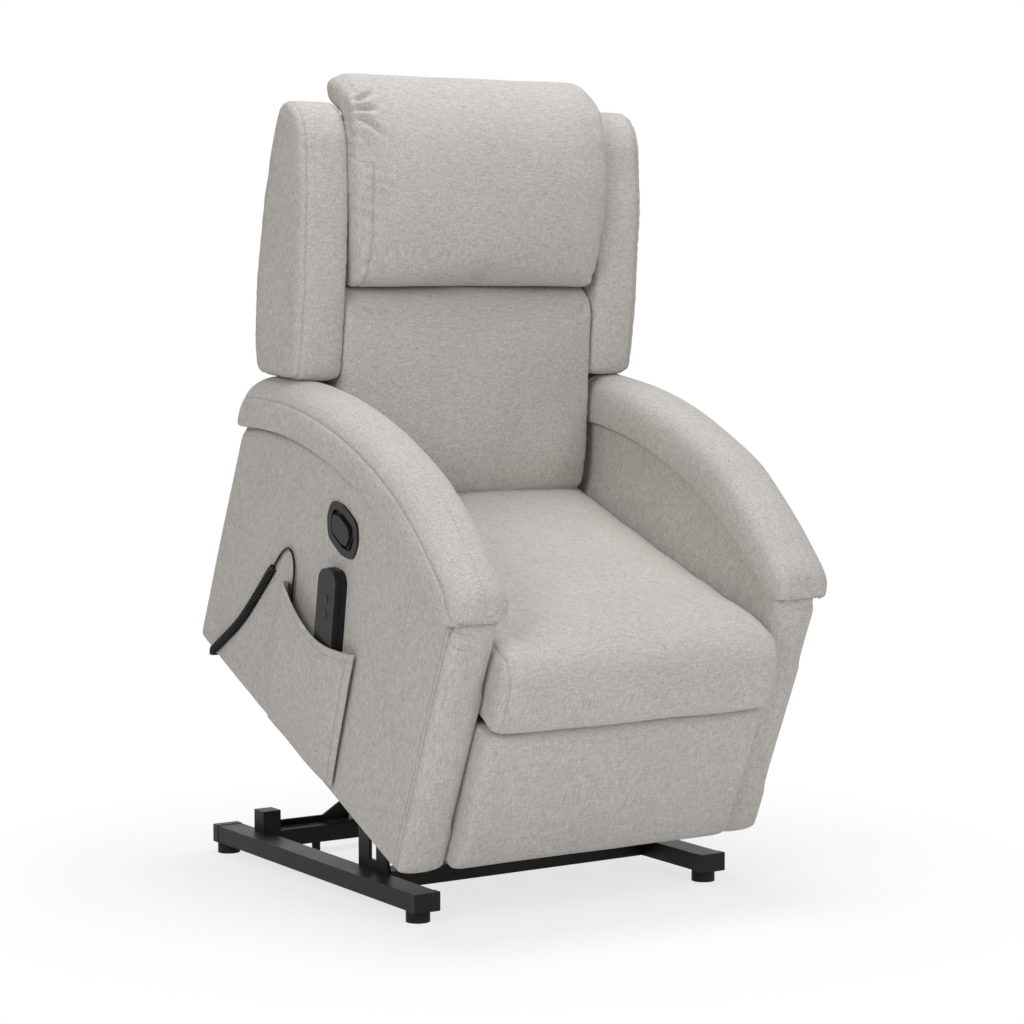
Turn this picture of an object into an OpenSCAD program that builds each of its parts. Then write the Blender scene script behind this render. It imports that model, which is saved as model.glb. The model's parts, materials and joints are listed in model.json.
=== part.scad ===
// Lift recliner chair: an upholstered armchair on a steel base, with a powered lift linkage,
// a reclining back, a fold-out footrest and a wired handset.
// Millimetres, Z up, the chair faces -Y. It is drawn raised, with the seat tipped forward.
// Right and left are the sitter's: right is -X, left is +X.

/* [Base frame] */
// How far the foot centres stand in from the arms' outer faces
foot_set = 68.5; // [60:0.5:76]
// Distance between the front and rear foot centres
foot_span_y = 646; // [620:2:670]
// Diameter of a foot
foot_d = 39; // [30:1:44]
// Height of a foot
foot_h = 20; // [14:1:30]
// Width of a side rail
rail_w = 46; // [42:1:50]
// Height of a side rail
rail_h = 29; // [25:1:36]
// Length of a side rail between its end caps
rail_len = 655; // [640:5:680]
// Wall of the base tubes
tube_wall = 2; // [1.5:0.5:3]
// Length of a rail end cap
cap_len = 17; // [10:1:30]
// Depth of a crossbar, front to back
cross_d = 40; // [30:1:50]
// Side of a square rest stop
stop_w = 34; // [28:1:40]
// Height of a rest stop
stop_h = 36; // [20:1:45]

/* [Lift linkage] */
// Tilt of the raised chair
lift_tilt = 24.2; // [20:0.1:26]
// Height of the raised chair's lower front edge
chair_z = 90.7; // [85:0.1:110]
// Height of the arm pivot on the base
arm_pivot_z = 170; // [165:1:176]
// Height of the guide pivot on the base
guide_pivot_z = 130; // [124:1:134]
// Thickness of the pivot uprights
upright_t = 6; // [4:0.5:8]
// Thickness of a lift arm
arm_t = 5.5; // [4:0.5:7]
// Width of a lift arm bar
arm_w = 31; // [24:1:34]
// Thickness of a guide link
guide_t = 5; // [3:0.5:6]
// Width of a guide link bar
guide_w = 22; // [18:1:26]
// Diameter of the arm pivot pins
arm_pin_d = 16; // [12:0.5:18]
// Diameter of the guide pivot pins
guide_pin_d = 10; // [8:0.5:12]
// Diameter of the tube between the arms
arm_tube_d = 25; // [20:1:30]
// Play of the guide link on its upper pin, which the linkage needs in mid travel
guide_play = 1.3; // [1.2:0.1:2]

/* [Actuator] */
// Diameter of the spindle tube
spindle_d = 30; // [26:1:36]
// Diameter of the push rod
rod_d = 20; // [14:1:22]
// Diameter of the motor
motor_d = 58; // [48:1:64]
// Length of the motor
motor_len = 120; // [90:5:140]
// Play at the rod's slotted lug, which lets the chair float if something is under it
slot_len = 13; // [12:0.5:16]

/* [Arms] */
// Width of the chair over the side panels
body_w = 697; // [680:1:720]
// Width of one upholstered arm
panel_w = 83.5; // [78:0.5:84]
// Depth of a side panel, front to back
panel_len = 745; // [720:5:770]
// Thickness of the padded outer face
panel_pad = 8; // [5:1:12]
// Radius of the arched top of a side panel
arch_r = 812; // [780:2:850]
// Height of the top of the arch
arch_v = 497; // [480:1:505]
// Overhang of an arm pad, outside
pad_out = 18.5; // [10:0.5:24]
// Overhang of an arm pad, inside
pad_in = 13; // [5:0.5:14]
// Height of an arm pad at its crown
pad_h = 84; // [70:1:88]

/* [Seat] */
// Room between the seat cushion and each arm
seat_room = 9.5; // [3:0.5:15]
// Depth of the seat cushion
seat_len = 634; // [610:1:640]
// Height of the cushion's underside over the lower edge of the side panels
seat_v = 258; // [254:1:262]
// Height of the cushion's front corner over its underside
seat_front_h = 142; // [120:1:150]
// Height of the cushion's rear edge over its underside
seat_rear_h = 84; // [75:1:88]
// Thickness of the seat frame boards
board_t = 18; // [12:1:22]

/* [Footrest] */
// Room between the footrest panel and each arm
foot_room = 2.5; // [1:0.5:10]
// Height of the footrest panel
foot_panel_h = 252; // [230:1:253]
// Thickness of the footrest pad
foot_pad = 32; // [20:1:36]
// Thickness of the footrest links
foot_link_t = 5; // [4:0.5:6]

/* [Backrest] */
// Room between the lower back cushion and each wing
back_room = 5; // [1:0.5:12]
// Room between the headrest cushion and each wing
head_room = 2; // [1:0.5:12]
// How far the wings stand in from the arms' outer faces
wing_set = 13.5; // [5:0.5:20]
// How far the wings' inner faces stand in from the arm pads
wing_step = 7; // [3:0.5:12]
// Thickness of the outer back panel
back_skin = 8; // [5:1:12]

/* [Handle, pocket and handset] */
// Length of the handle bezel
bezel_len = 104; // [90:1:120]
// Height of the handle bezel
bezel_h = 72; // [60:1:84]
// Thickness of the handle bezel
bezel_t = 6; // [4:0.5:10]
// Width of the pocket
pocket_w = 262; // [240:2:270]
// Height of the pocket
pocket_h = 212; // [190:2:220]
// Wall of the pocket
pocket_wall = 2.5; // [1.5:0.5:4]
// Length of the handset
handset_len = 186; // [170:1:200]
// Width of the handset
handset_w = 58; // [50:1:64]
// Thickness of the handset
handset_t = 24; // [20:0.5:28]
// Outer diameter of the curly cord
curl_d = 15; // [12:0.5:18]
// Diameter of the cord itself
cord_d = 4; // [3:0.5:5]

/* [Hidden] */
$fn = 64;

// Fits
gap = 1;            // side play between moving plates
seat_gap = 0.3;     // a piece laid on another
pin_fit = 0.2;      // a turning pin in its hole, on the diameter
tiny = 0.01;

// The base's own frame has its origin midway between the feet; the row's origin is under the
// middle of the whole chair
base_y = 110;
// Lower front corner of the side panels, in the base's frame
chair_y = -383;

foot_span_x = body_w - 2 * foot_set;
rail_in = foot_span_x / 2 - rail_w / 2;
rail_top = foot_h + rail_h;
rail_mid = -7.5;    // rails sit slightly forward of the feet
front_bar_y = -178;
rear_bar_y = 222;
lip_h = 11;
lip_t = 4;

// Side-by-side planes of the linkage, from the rail inwards
arm_out = rail_in - upright_t - gap;
arm_in = arm_out - arm_t;
cap_t = 2.5;
guide_out = arm_in - cap_t - gap;
guide_in = guide_out - guide_t;
chassis_t = 5;
chassis_out = guide_in - 3 * gap;
chassis_in = chassis_out - chassis_t;
foot_a_out = chassis_in - gap;
foot_a_in = foot_a_out - foot_link_t;
foot_b_out = foot_a_in - gap;
foot_b_in = foot_b_out - foot_link_t;

// Pivots as [y, z]: on the base in the base's frame, on the chair in the chair's frame
arm_base = [-113, arm_pivot_z];
guide_base = [-170, guide_pivot_z];
arm_chair = [509, 106];
guide_chair = [348.6, 47.3];
back_pivot = [620, 270];
foot_pivot = [70, 208];
foot_knee = [170, 45];
foot_end = [44, 160];
// Actuator pivots in the base's frame, chair raised
act_base = [250, 95];
act_reach = 104;
act_bearing = 117.1;
act_tip = arm_base + act_reach * [cos(act_bearing), sin(act_bearing)];
act_angle = atan2(act_tip[1] - act_base[1], act_tip[0] - act_base[0]);
act_len = norm(act_tip - act_base);

// The same turn as on_chair(), for points in the base's frame
function to_base(p) = [
    chair_y + p[0] * cos(lift_tilt) - p[1] * sin(lift_tilt),
    chair_z + p[0] * sin(lift_tilt) + p[1] * cos(lift_tilt)
];
arm_top = to_base(arm_chair);
guide_top = to_base(guide_chair);
tube_share = 0.625; // how far along the arm its cross tube lies
arm_tube_at = arm_base + (arm_top - arm_base) * tube_share;

// Arms
panel_out = body_w / 2;
panel_in = panel_out - panel_w;
arch_mid = 360;
arch_centre = [arch_mid, arch_v - arch_r];
front_lean = 1.9;   // degrees that the front posts lean back
front_drop = 5;     // and reach this far below the rear corners
lining = 2.5;       // fabric and wadding on the inner faces

// Seat
seat_w = 2 * (panel_in - seat_room);
seat_front = -34;
seat_back = seat_front + seat_len;
cross_v = 160;
cross_w = 25;
front_cross_u = 130;
rear_cross_u = 640;
frame_v = cross_v + cross_w;
spring_d = 4;
seat_frame_h = seat_v - frame_v - spring_d - 2 * seat_gap;

// Footrest, folded
foot_w = 2 * (panel_in - foot_room);
foot_v = 5;
foot_face = -24;
board_u = foot_face + foot_pad + seat_gap;
foot_board_t = 12;

// Pocket and handset, on the right panel
pocket_u = 238;
pocket_v = 26;
pocket_deep = handset_t + 2 * seat_gap;
handset_lean = -15;
handset_at = [304, 168];
button_d = 15;
button_travel = 1.2;
curl_x = -(panel_out + seat_gap + curl_d / 2);
tail_x = -(panel_out + seat_gap + handset_t / 2);
clip_x = -(panel_out - 20.5);

// Cord routes in the chair's frame, chosen by hand: lead, curl, tail
lead_route = [
    [clip_x, 688, -9], [clip_x - 10, 688, -9], [clip_x - 20, 687, -8], [curl_x, 680, 0], [curl_x, 672, 11],
    [curl_x, 664, 23]
];
curl_route = [
    [curl_x, 664, 23], [curl_x, 652, 39], [curl_x, 639, 57], [curl_x, 624, 78], [curl_x, 609, 101],
    [curl_x, 593, 129], [curl_x, 578, 160], [curl_x, 564, 190], [curl_x, 551, 219], [curl_x, 538, 249]
];
tail_route = [
    [curl_x, 538, 249], [curl_x, 532, 263], [curl_x, 525, 278], [curl_x, 517, 291], [curl_x, 506, 300],
    [curl_x, 494, 300], [curl_x, 483, 292], [curl_x, 474, 276], [tail_x + 2.8, 466, 254],
    [tail_x + 1.8, 459, 230], [tail_x + 0.8, 451, 206], [tail_x, 441, 182], [tail_x, 427, 160], [tail_x, 408, 141], [tail_x, 385, 127],
    [tail_x, 360, 119], [tail_x, 336, 119], [tail_x, 317, 128], [tail_x, 306, 144], [tail_x, 304, 160],
    [tail_x, 304.5, 167]
];

// ---------------------------------------------------------------- shared shapes

module on_base() {
    translate([0, base_y, 0]) children();
}

module on_chair() {
    translate([0, base_y + chair_y, chair_z]) rotate([lift_tilt, 0, 0]) children();
}

module right_side() {
    mirror([1, 0, 0]) children();
}

module both_sides() {
    children();
    right_side() children();
}

// A flat shape drawn in Y and Z, given thickness t from x0 towards +X
module plate(x0, t) {
    translate([x0, 0, 0]) rotate([90, 0, 90]) linear_extrude(t) children();
}

// A round bar along X at [y, z]
module bar(x0, len, d, at) {
    translate([x0, at[0], at[1]]) rotate([0, 90, 0]) cylinder(h = len, d = d);
}

module tube_x(x0, len, d, wall, at) {
    difference() {
        bar(x0, len, d, at);
        bar(x0 - 1, len + 2, d - 2 * wall, at);
    }
}

module block(x0, x1, y0, y1, z0, z1) {
    translate([x0, y0, z0]) cube([x1 - x0, y1 - y0, z1 - z0]);
}

// Link with an eye at each end, in Y and Z
module link(a, b, eye, w) {
    translate(a) circle(d = eye);
    translate(b) circle(d = eye);
    translate(a) rotate(atan2(b[1] - a[1], b[0] - a[0])) translate([0, -w / 2]) square([norm(b - a), w]);
}

// Profile with each corner cut back by r and curved
function corner(a, p, b, r) = let (
    s = p + (a - p) / norm(a - p) * r,
    e = p + (b - p) / norm(b - p) * r
) [s, s / 4 + p / 2 + e / 4, e];
function rounded(pts, r) = let (n = len(pts)) [
    for (i = [0:n - 1]) each corner(pts[(i + n - 1) % n], pts[i], pts[(i + 1) % n], r)
];

// Profile drawn in towards a middle point
function drawn_in(pts, c, d) = [for (p = pts) p - (p - c) * d / norm(p - c)];
function middle(pts) = [for (k = [0, 1]) (max([for (p = pts) p[k]]) + min([for (p = pts) p[k]])) / 2];

// Closed solid through rings of points; a ring turns anticlockwise seen from its far side
module skin(rings) {
    n = len(rings[0]);
    m = len(rings);
    sides = [
        for (i = [0:m - 2], j = [0:n - 1])
            [i * n + j, (i + 1) * n + j, (i + 1) * n + (j + 1) % n, i * n + (j + 1) % n]
    ];
    first = [for (j = [0:n - 1]) j];
    last = [for (j = [n - 1:-1:0]) (m - 1) * n + j];
    polyhedron([for (r = rings) each r], concat([first], sides, [last]), convexity = 6);
}

// Cushion: a side profile in Y and Z from x0 to x1, with its side edges rounded by edge
module cushion(pts, x0, x1, edge) {
    c = middle(pts);
    turns = [0, 30, 60, 90];
    skin(concat(
        [for (a = turns) [
            for (p = drawn_in(pts, c, edge * (1 - sin(a)))) [x0 + edge * (1 - cos(a)), p[0], p[1]]
        ]],
        [for (k = [3:-1:0]) [
            for (p = drawn_in(pts, c, edge * (1 - sin(turns[k]))))
                [x1 - edge * (1 - cos(turns[k])), p[0], p[1]]
        ]]
    ));
}

// Round cord swept along its own points
function unit(v) = v / norm(v);
function heading(path, i) = unit(path[min(i + 1, len(path) - 1)] - path[max(i - 1, 0)]);
module cord(path, d, sides) {
    skin([
        for (i = [0:len(path) - 1]) let (
            t = heading(path, i),
            a = unit(cross(t, abs(t[0]) > 0.9 ? [0, 0, 1] : [1, 0, 0])),
            b = cross(t, a)
        ) [for (k = [0:sides - 1]) path[i] + d / 2 * (cos(360 * k / sides) * a + sin(360 * k / sides) * b)]
    ]);
}

// ---------------------------------------------------------------- base

module base_rail() {
    color("#202022") on_base() difference() {
        block(rail_in, rail_in + rail_w, rail_mid - rail_len / 2, rail_mid + rail_len / 2, foot_h, rail_top);
        block(rail_in + tube_wall, rail_in + rail_w - tube_wall, rail_mid - rail_len / 2 - 1,
            rail_mid + rail_len / 2 + 1, foot_h + tube_wall, rail_top - tube_wall);
    }
}

module base_rail_left() {
    base_rail();
}

module base_rail_right() {
    right_side() base_rail();
}

module crossbar(y) {
    difference() {
        block(-rail_in, rail_in, y, y + cross_d, foot_h, rail_top);
        block(-rail_in - 1, rail_in + 1, y + tube_wall, y + cross_d - tube_wall,
            foot_h + tube_wall, rail_top - tube_wall);
    }
}

module front_crossbar() {
    color("#202022") on_base() crossbar(front_bar_y);
}

// The rear bar carries an upstanding lip along its rear edge
module rear_crossbar() {
    color("#202022") on_base() {
        crossbar(rear_bar_y);
        block(-rail_in, rail_in, rear_bar_y + cross_d - lip_t, rear_bar_y + cross_d, rail_top - tiny,
            rail_top + lip_h);
    }
}

// Plate on the rail's inner face that carries the arm and guide pivots
module pivot_upright() {
    post_w = 34;
    foot_front = guide_base[0] - post_w / 2 - 6;
    foot_back = arm_base[0] + post_w / 2;
    web_top = 64;
    color("#242426") on_base() plate(rail_in - upright_t, upright_t) difference() {
        union() {
            polygon([
                [foot_front, rail_top], [foot_back, rail_top], [foot_back, arm_base[1]],
                [arm_base[0] - post_w / 2, arm_base[1]], [arm_base[0] - post_w / 2, web_top],
                [guide_base[0] + post_w / 2, web_top], [guide_base[0] + post_w / 2, guide_base[1]],
                [guide_base[0] - post_w / 2, guide_base[1]], [guide_base[0] - post_w / 2, web_top]
            ]);
            translate([front_bar_y + cross_d, foot_h + 1])
                square([foot_back - front_bar_y - cross_d, rail_h]);
            translate(arm_base) circle(d = post_w);
            translate(guide_base) circle(d = post_w);
        }
        translate(arm_base) circle(d = arm_pin_d + tiny);
        translate(guide_base) circle(d = guide_pin_d + tiny);
    }
}

module pivot_upright_left() {
    pivot_upright();
}

module pivot_upright_right() {
    right_side() pivot_upright();
}

// Plastic caps stand slightly proud of the rails
module rail_end_caps() {
    lift = 0.8;
    tongue = 14;
    color("#161617") on_base() both_sides() for (s = [-1, 1]) {
        y = rail_mid + s * (rail_len / 2 + cap_len / 2);
        block(rail_in - lift, rail_in + rail_w + lift, y - cap_len / 2, y + cap_len / 2,
            foot_h - lift, rail_top + lift);
        inside = y - s * (cap_len + tongue) / 2;
        block(rail_in + tube_wall + seat_gap, rail_in + rail_w - tube_wall - seat_gap,
            inside - tongue / 2 - tiny, inside + tongue / 2 + tiny,
            foot_h + tube_wall + seat_gap, rail_top - tube_wall - seat_gap);
    }
}

module levelling_feet() {
    color("#141415") on_base() both_sides() for (s = [-1, 1])
        translate([foot_span_x / 2, s * foot_span_y / 2, 0]) cylinder(h = foot_h - 0.8, d = foot_d);
}

module crossbar_glides() {
    glide_x = 144;
    color("#141415") on_base() both_sides()
        translate([glide_x, rear_bar_y + cross_d / 2 + 10, 0]) cylinder(h = foot_h, d = 15);
}

// Blocks that the legs of the lowered chassis come down on
module rest_stops() {
    x0 = rail_in - stop_w + 7;
    y0 = rear_bar_y + 1;
    color("#1b1b1d") on_base() both_sides()
        block(x0, x0 + stop_w, y0, y0 + stop_w, rail_top, rail_top + stop_h);
}

// Two ears on a foot plate hold the actuator's rear pin
ear_t = 5;
ear_gap = 26;
module actuator_bracket() {
    foot_w_x = 264;
    color("#242426") on_base() difference() {
        union() {
            block(-foot_w_x / 2, foot_w_x / 2, rear_bar_y + 2, rear_bar_y + cross_d - lip_t - tiny,
                rail_top, rail_top + 4);
            both_sides() plate(ear_gap / 2, ear_t) {
                translate(act_base) circle(d = 34);
                polygon([
                    [rear_bar_y + 2, rail_top + 2], [rear_bar_y + cross_d - lip_t, rail_top + 2],
                    [rear_bar_y + cross_d - lip_t, rail_top + lip_h + 2],
                    [act_base[0] + 16, act_base[1]], [act_base[0] - 16, act_base[1]]
                ]);
            }
            both_sides() translate([0, rear_bar_y + 30, 0]) rotate([90, 0, 0]) linear_extrude(5)
                polygon([
                    [ear_gap / 2 + ear_t - 1, rail_top + 3], [foot_w_x / 2, rail_top + 3],
                    [foot_w_x / 2, rail_top + lip_h + 2], [64, act_base[1] + 8],
                    [ear_gap / 2 + ear_t - 1, act_base[1] + 8]
                ]);
        }
        bar(-60, 120, guide_pin_d + tiny, act_base);
        both_sides() bar(ear_gap / 2 + ear_t, cap_t + gap, guide_pin_d + 7 + 2 * gap, act_base);
    }
}

// Bolts hold the uprights to the rails and the bracket to its bar
module base_screws() {
    head = 13;
    color("#8a8a8c") on_base() {
        both_sides() for (y = [front_bar_y + cross_d + 9, arm_base[0] + 6])
            bar(rail_in - upright_t - 5, 5, head, [y, foot_h + rail_h / 2]);
        for (x = [-80, 80])
            translate([x, rear_bar_y + 14, rail_top + 4]) cylinder(h = 6, d = head, $fn = 6);
    }
}

// Shoulder pins: a head on each side keeps the plates on
module base_pivot_pins() {
    head_t = 3.5;
    color("#77777a") on_base() {
        both_sides() {
            bar(arm_in - cap_t, rail_in - arm_in + cap_t + head_t, arm_pin_d - pin_fit, arm_base);
            bar(rail_in, head_t, arm_pin_d + 8, arm_base);
            bar(arm_in - cap_t, cap_t, arm_pin_d + 8, arm_base);
            bar(guide_in - cap_t, rail_in - guide_in + cap_t + head_t, guide_pin_d - pin_fit, guide_base);
            bar(rail_in, head_t, guide_pin_d + 7, guide_base);
            bar(guide_in - cap_t, cap_t, guide_pin_d + 7, guide_base);
            bar(guide_out + seat_gap, arm_in - guide_out, guide_pin_d + 6, guide_base);
        }
        bar(-ear_gap / 2 - ear_t - cap_t, ear_gap + 2 * ear_t + 2 * cap_t, guide_pin_d - pin_fit, act_base);
        both_sides() bar(ear_gap / 2 + ear_t, cap_t, guide_pin_d + 7, act_base);
    }
}

// ---------------------------------------------------------------- lift linkage

module lift_arm() {
    eye = arm_w + 5;
    color("#2a2a2c") on_base() plate(arm_in, arm_t) difference() {
        link(arm_base, arm_top, eye, arm_w);
        translate(arm_base) circle(d = arm_pin_d + pin_fit);
        translate(arm_top) circle(d = arm_pin_d + pin_fit);
        translate(arm_tube_at) circle(d = arm_tube_d - 6);
    }
}

module lift_arm_left() {
    lift_arm();
}

module lift_arm_right() {
    right_side() lift_arm();
}

// A tube welded into each arm, with the slotted lug on its inner end that the rod pushes. The
// actuator passes between the lugs, and a bar beyond the rod's end ties them together
lug_t = 6;
lug_room = 3;       // between the motor and each lug
lug_gap = motor_d + 2 * lug_room;
tie_d = 12;
tie_off = 31;       // from the rod's pin to the tie bar
module arm_cross_tube() {
    reach = unit(act_tip - arm_base);
    slot_bearing = atan2(reach[1], reach[0]);
    slot_w = guide_pin_d + 5.4;
    lug_w = 40;
    tie_at = act_tip + tie_off * unit(act_tip - act_base);
    color("#2a2a2c") on_base() {
        both_sides() tube_x(lug_gap / 2, arm_in - lug_gap / 2, arm_tube_d, 3, arm_tube_at);
        bar(-lug_gap / 2 - lug_t, lug_gap + 2 * lug_t, tie_d, tie_at);
        both_sides() plate(lug_gap / 2, lug_t) difference() {
            union() {
                link(arm_tube_at, act_tip, lug_w, lug_w - 8);
                link(act_tip, tie_at, tie_d + 12, tie_d + 8);
                translate(act_tip) rotate(slot_bearing) translate([-slot_len, 1 - lug_w / 2])
                    square([slot_len, lug_w - 2]);
            }
            translate(arm_tube_at) circle(d = arm_tube_d - 2);
            link(act_tip, act_tip - slot_len * reach, slot_w, slot_w - 0.4);
        }
    }
}

module guide_links() {
    eye = guide_w + 4;
    color("#303032") on_base() both_sides() plate(guide_in, guide_t) difference() {
        link(guide_base, guide_top, eye, guide_w);
        translate(guide_base) circle(d = guide_pin_d + pin_fit);
        translate(guide_top) circle(d = guide_pin_d + 2 * guide_play);
    }
}

// ---------------------------------------------------------------- actuator

// Drawn along +Y from its rear pin, then turned to lie between its pins
module along_actuator() {
    on_base() translate([0, act_base[0], act_base[1]]) rotate([act_angle, 0, 0]) children();
}

tube_start = 34;
tube_end = 306;
module actuator_tube() {
    color("#3a3a3c") along_actuator() difference() {
        translate([0, tube_start, 0]) rotate([-90, 0, 0]) cylinder(h = tube_end - tube_start, d = spindle_d);
        translate([0, tube_start + 20, 0]) rotate([-90, 0, 0]) cylinder(h = tube_end, d = rod_d + 1);
    }
}

// Motor beside the tube, and the gear housing with the rear eye, in one casting
module actuator_motor() {
    eye_w = ear_gap - 2 * gap;
    off = (spindle_d + motor_d) / 2 + 2;
    color("#19191b") along_actuator() {
        difference() {
            union() {
                bar(-eye_w / 2, eye_w, 26, [0, 0]);
                block(-eye_w / 2, eye_w / 2, 0, 30, -13, 13);
                block(-22, 22, 18, tube_start + 26, -20, off + motor_d / 2 - 4);
            }
            bar(-40, 80, guide_pin_d + pin_fit, [0, 0]);
            translate([0, tube_start, 0]) rotate([-90, 0, 0]) cylinder(h = 80, d = spindle_d);
        }
        translate([0, tube_start + 26 - tiny, off]) rotate([-90, 0, 0]) cylinder(h = motor_len, d = motor_d);
        translate([0, tube_start + 26 + motor_len - 2 * tiny, off]) rotate([-90, 0, 0])
            cylinder(h = 8, d = motor_d - 16);
    }
}

rod_tail = 238;
module actuator_rod() {
    color("#b9bbbd") along_actuator()
        translate([0, rod_tail, 0]) rotate([-90, 0, 0]) cylinder(h = act_len - rod_tail - 14, d = rod_d);
}

// Eye on the rod's end with the cross pin that runs in the lugs' slots
module rod_end() {
    eye_w = ear_gap - 2 * gap;
    color("#58585a") along_actuator() {
        difference() {
            union() {
                bar(-eye_w / 2, eye_w, 30, [act_len, 0]);
                block(-eye_w / 2, eye_w / 2, act_len - 22, act_len, -11, 11);
            }
            translate([0, act_len - 60, 0]) rotate([-90, 0, 0]) cylinder(h = 46, d = rod_d);
        }
        bar(-lug_gap / 2 - lug_t - gap - 3, lug_gap + 2 * lug_t + 2 * gap + 6, guide_pin_d, [act_len, 0]);
        both_sides() bar(eye_w / 2 - tiny, lug_gap / 2 - gap - eye_w / 2, guide_pin_d + 6, [act_len, 0]);
        both_sides() bar(lug_gap / 2 + lug_t + gap, 3, guide_pin_d + 12, [act_len, 0]);
    }
}

// ---------------------------------------------------------------- chassis under the seat

// Side plate with a top rail, a drop for each linkage pivot, a horn for the footrest and a leg
// that comes down on the rest stop
module chassis_plate() {
    eye = arm_w + 3;
    rail_low = cross_v - cross_w;
    horn = 26;
    rail_front = foot_pivot[0] - horn / 2;
    leg_u = 575;
    leg_w = 30;
    leg_v = 27;
    color("#2c2c2e") on_chair() plate(chassis_in, chassis_t) difference() {
        union() {
            translate([rail_front, rail_low]) square([rear_cross_u + cross_w - rail_front, cross_w]);
            translate([rail_front, rail_low]) square([horn, foot_pivot[1] - rail_low]);
            translate(foot_pivot) circle(d = horn + 2);
            translate([leg_u, leg_v]) square([leg_w, rail_low - leg_v + tube_wall]);
            for (p = [arm_chair, guide_chair]) {
                translate([p[0] - eye / 2 + 1, p[1]]) square([eye - 2, rail_low - p[1] + 5]);
                translate(p) circle(d = eye);
            }
        }
        translate(foot_pivot) circle(d = guide_pin_d + tiny);
        translate(arm_chair) circle(d = arm_pin_d + tiny);
        translate(guide_chair) circle(d = guide_pin_d + tiny);
    }
}

module chassis_plate_left() {
    chassis_plate();
}

module chassis_plate_right() {
    right_side() chassis_plate();
}

// Square tubes across the chassis, bolted to the arm frames at their ends
module chassis_cross_tubes() {
    half = panel_in + lining;
    wall = 2;
    color("#2c2c2e") on_chair() for (u = [front_cross_u, rear_cross_u]) difference() {
        block(-half, half, u, u + cross_w, cross_v, cross_v + cross_w);
        block(-half - 1, half + 1, u + wall, u + cross_w - wall, cross_v + wall, cross_v + cross_w - wall);
    }
}

// Pins fixed in the chassis: lift arms, guide links, footrest links and the back hinge
module chassis_pins() {
    foot_head = board_room - seat_gap;
    color("#77777a") on_chair() both_sides() {
        bar(chassis_in - cap_t, arm_out - chassis_in + 2 * cap_t, arm_pin_d - pin_fit, arm_chair);
        bar(arm_out, cap_t, arm_pin_d + 8, arm_chair);
        bar(chassis_in - cap_t, cap_t, arm_pin_d + 8, arm_chair);
        bar(chassis_out, arm_in - chassis_out - seat_gap, arm_pin_d + 6, arm_chair);
        bar(chassis_in - cap_t, guide_out - chassis_in + 2 * cap_t, guide_pin_d, guide_chair);
        bar(guide_out + seat_gap, cap_t - seat_gap, guide_pin_d + 7, guide_chair);
        bar(chassis_in - cap_t, cap_t, guide_pin_d + 7, guide_chair);
        bar(foot_a_in - cap_t, chassis_out - foot_a_in + cap_t + foot_head, guide_pin_d - pin_fit, foot_pivot);
        bar(chassis_out, foot_head, guide_pin_d + 7, foot_pivot);
        bar(hinge_in - cap_t, panel_in - hinge_in + cap_t, hinge_d - pin_fit, back_pivot);
        bar(hinge_in - cap_t, cap_t, hinge_d + 7, back_pivot);
    }
}

// ---------------------------------------------------------------- arms

// Side profile of an arm below the pad, drawn in by d all round
module arm_profile(d) {
    lean = tan(front_lean);
    intersection() {
        polygon(rounded([
            [5 + d, d - front_drop], [panel_len - d, d], [panel_len - d, arch_v],
            [5 + d + lean * arch_v, arch_v]
        ], 14));
        translate(arch_centre) circle(r = arch_r - d, $fn = 240);
    }
}

// Padded cover of an arm: outer face, front post and inner face round the wooden frame
post_u = 26;
module side_panel() {
    color("#bab6b2") on_chair() difference() {
        plate(panel_in, panel_w) arm_profile(0);
        block(panel_in + lining, panel_out - panel_pad, post_u, panel_len - panel_pad, -50, arch_v + 50);
        tube_holes();
    }
}

// Openings in the inner lining at the ends of the cross tubes
module tube_holes() {
    for (u = [front_cross_u, rear_cross_u])
        block(panel_in - 5, panel_in + lining + 1, u - gap, u + cross_w + gap,
            cross_v - gap, cross_v + cross_w + gap);
}

module side_panel_left() {
    side_panel();
}

module side_panel_right() {
    right_side() side_panel();
}

// Timber frame inside an arm: outer board, posts, top and bottom rails, inner board
module arm_frame() {
    x0 = panel_in + lining + seat_gap;
    x1 = panel_out - panel_pad - seat_gap;
    u0 = post_u + seat_gap;
    u1 = panel_len - panel_pad - seat_gap;
    ply = 12;
    post = 34;
    color("#c9a878") on_chair() difference() {
        plate(x0, x1 - x0) intersection() {
            arm_profile(3);
            translate([u0, 0]) square([u1 - u0, arch_v]);
        }
        block(x0 - 1, x1 - ply, u0 + post, u1 - post, 3 + post, cross_v - 20);
        block(x0 + ply, x1 - ply, u0 + post, u1 - post, cross_v - 30, 330);
        block(x0 - 1, x1 - ply, u0 + post, u1 - post, 310, 385);
    }
}

module arm_frame_left() {
    arm_frame();
}

module arm_frame_right() {
    right_side() arm_frame();
}

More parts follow.
